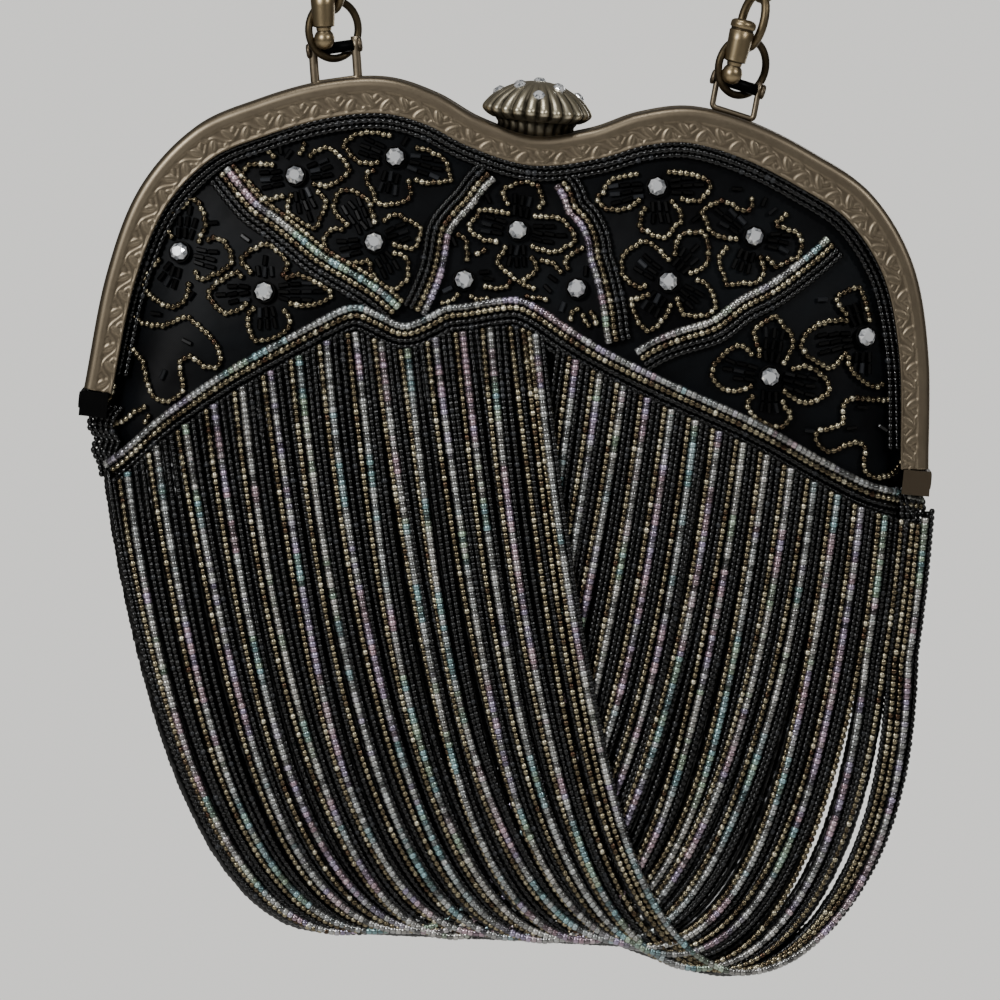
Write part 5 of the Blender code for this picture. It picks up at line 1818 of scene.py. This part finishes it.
rng = np.random.default_rng(31)
widths = np.array([STRAND_WIDTHS[finish] for finish in STRAND_ORDER])
shares = (np.cumsum(widths) - widths / 2) / widths.sum()
swag_heaps = {finish: Heap() for finish in STRINGS}
jet_second, total = Heap(), 0
for number, (finish, share) in enumerate(zip(STRAND_ORDER, shares)):
    if number % 4 == 2:
        clump = rng.uniform(0, 2 * math.pi, 2)
    elif number == 0:
        clump = np.zeros(2)
    lift = SWAG_LIFT + STRAND_LIFTS[finish] + rng.uniform(-LIFT_UNEVEN, LIFT_UNEVEN)
    path = strand_path(share, lift, SWAG_OVER_LIFT - SWAG_LIFT, rng.uniform(0, 2 * math.pi, 3), clump)
    _, _, outline, radius, pitch = STRINGS[finish]
    target = jet_second if finish == "jet" and number % 4 == 1 else swag_heaps[finish]
    thinner = radius * SWAG_THINNER
    total += add_string(target, path, rng, radius=thinner, pitch=pitch, outline=outline, sides=SWAG_SIDES)
for finish, heap in swag_heaps.items():
    material, slot_name = STRINGS[finish][:2]
    stands_for = {"pearly": ["swag_over"], "bronze": ["swag_under"]}.get(finish, ())
    heap.piece(f"swag_strands_{finish}", material, slot_name, level=False, replaces=stands_for)
jet_second.piece("swag_strands_jet_second", jet, "jet_beads", level=False)

# %% [markdown]
# Behind these hang fifty-eight more black strands, which are hardly seen but fill the gaps, so that no light
# comes through except at the lower right, where the bundles part. They are partly real strands and partly a
# dark layer in place of the shade between the strands. They are thicker, with fewer sides, as nobody looks
# at them.

# %% Black strands behind
BACK_STRANDS = 58
BACK_SHARES = (0.006, 0.985)
BACK_RADIUS = 1.25
BACK_SIDES = 4
BACK_LOWER = 1.4
BACK_OVER_LESS = 0.4
BACK_LOOSE = 0.3

heap = Heap()
sway, clump = rng.uniform(0, 2 * math.pi, 3), rng.uniform(0, 2 * math.pi, 2)
lift, over = SWAG_LIFT - BACK_LOWER, SWAG_OVER_LIFT - SWAG_LIFT - BACK_OVER_LESS
for share in np.linspace(*BACK_SHARES, BACK_STRANDS):
    path = strand_path(share, lift, over, sway, clump, loose=BACK_LOOSE)
    total += add_string(heap, path, rng, radius=BACK_RADIUS, outline=HIDDEN_BEAD, sides=BACK_SIDES)
heap.piece("swag_strands_behind", jet, "jet_beads", level=False)
print(total, "beads in the swags")

# %% [markdown]
# ## Floor, light and camera
# The purse hangs in a pale studio with a plain floor well below it. A large soft light stands at the upper
# left, like daylight from a window. A smaller lamp fills from the right, one lights the top, and a soft one
# low behind brightens the edges. The world gives the rest. The camera stands straight in front, a little
# above the middle.

# %% Stage
FLOOR_DROP = 0.62
FLOOR_SIZE = 2.4
FLOOR_CORNERS = 96
ROOM_COLOUR = (0.80, 0.78, 0.74)
ROOM_LIGHT = 0.13
BACKDROP_COLOUR = (0.80, 0.79, 0.76)
BACKDROP_LIGHT = 1.25

floor_material, work, shader = new_material("pale_floor", Base_Color=(0.9, 0.885, 0.86), Roughness=0.7)
floor_mesh = bpy.data.meshes.new("floor")
turn = np.arange(FLOOR_CORNERS) * 2 * math.pi / FLOOR_CORNERS
edge = np.column_stack([np.cos(turn), np.sin(turn)]) * FLOOR_SIZE / 2
floor_mesh.from_pydata([(*point, -FLOOR_DROP) for point in edge.tolist()], [], [tuple(range(FLOOR_CORNERS))])
floor_mesh.materials.append(floor_material)
floor = bpy.data.objects.new("floor", floor_mesh)
bpy.context.scene.collection.objects.link(floor)
floor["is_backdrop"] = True

world = bpy.data.worlds.new("studio")
world.use_nodes = True
work = Nodes(world.node_tree)
ambient = world.node_tree.nodes["Background"]
ambient.inputs["Color"].default_value = (*ROOM_COLOUR, 1.0)
ambient.inputs["Strength"].default_value = ROOM_LIGHT
backdrop = work.add("ShaderNodeBackground", Color=(*BACKDROP_COLOUR, 1.0), Strength=BACKDROP_LIGHT)
either = work.add("ShaderNodeMixShader")
work.join(work.add("ShaderNodeLightPath").outputs["Is Camera Ray"], either.inputs[0])
work.join(ambient.outputs[0], either.inputs[1])
work.join(backdrop.outputs[0], either.inputs[2])
work.join(either.outputs[0], world.node_tree.nodes["World Output"].inputs["Surface"])
bpy.context.scene.world = world

# %% Lights
MIDDLE = Vector((-0.0024, -0.010, -0.2376))
LIGHTS = (
    # name, place, size, watts
    ("window", (-0.7, -1.1, 0.35), 0.35, 12.0),
    ("lamp", (0.9, -0.9, 0.45), 0.16, 5.0),
    ("top", (-0.1, -0.3, 1.0), 0.4, 5.0),
    ("back", (0.6, 1.2, -0.25), 0.8, 6.0),
)
for name, place, size, watts in LIGHTS:
    data = bpy.data.lights.new(name, "AREA")
    data.size, data.energy = size, watts
    lamp = bpy.data.objects.new(name, data)
    lamp.location = place
    lamp.rotation_euler = (MIDDLE - Vector(place)).to_track_quat("-Z", "Y").to_euler()
    bpy.context.scene.collection.objects.link(lamp)

# %% Camera
CAMERA_AWAY = 1.4
CAMERA_RISE = 0.147
VIEW_WIDTH = 0.24
lens = bpy.data.cameras.new("camera")
lens.sensor_width = 36.0
lens.lens = lens.sensor_width * CAMERA_AWAY / VIEW_WIDTH
camera = bpy.data.objects.new("camera", lens)
camera.location = MIDDLE + Vector((0.0, -CAMERA_AWAY, CAMERA_RISE))
camera.rotation_euler = (MIDDLE - camera.location).to_track_quat("-Z", "Y").to_euler()
bpy.context.scene.collection.objects.link(camera)
bpy.context.scene.camera = camera

# %% Sizes, and the end
low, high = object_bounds()
print("visual box", [round(1000 * side) for side in high - low], "mm")
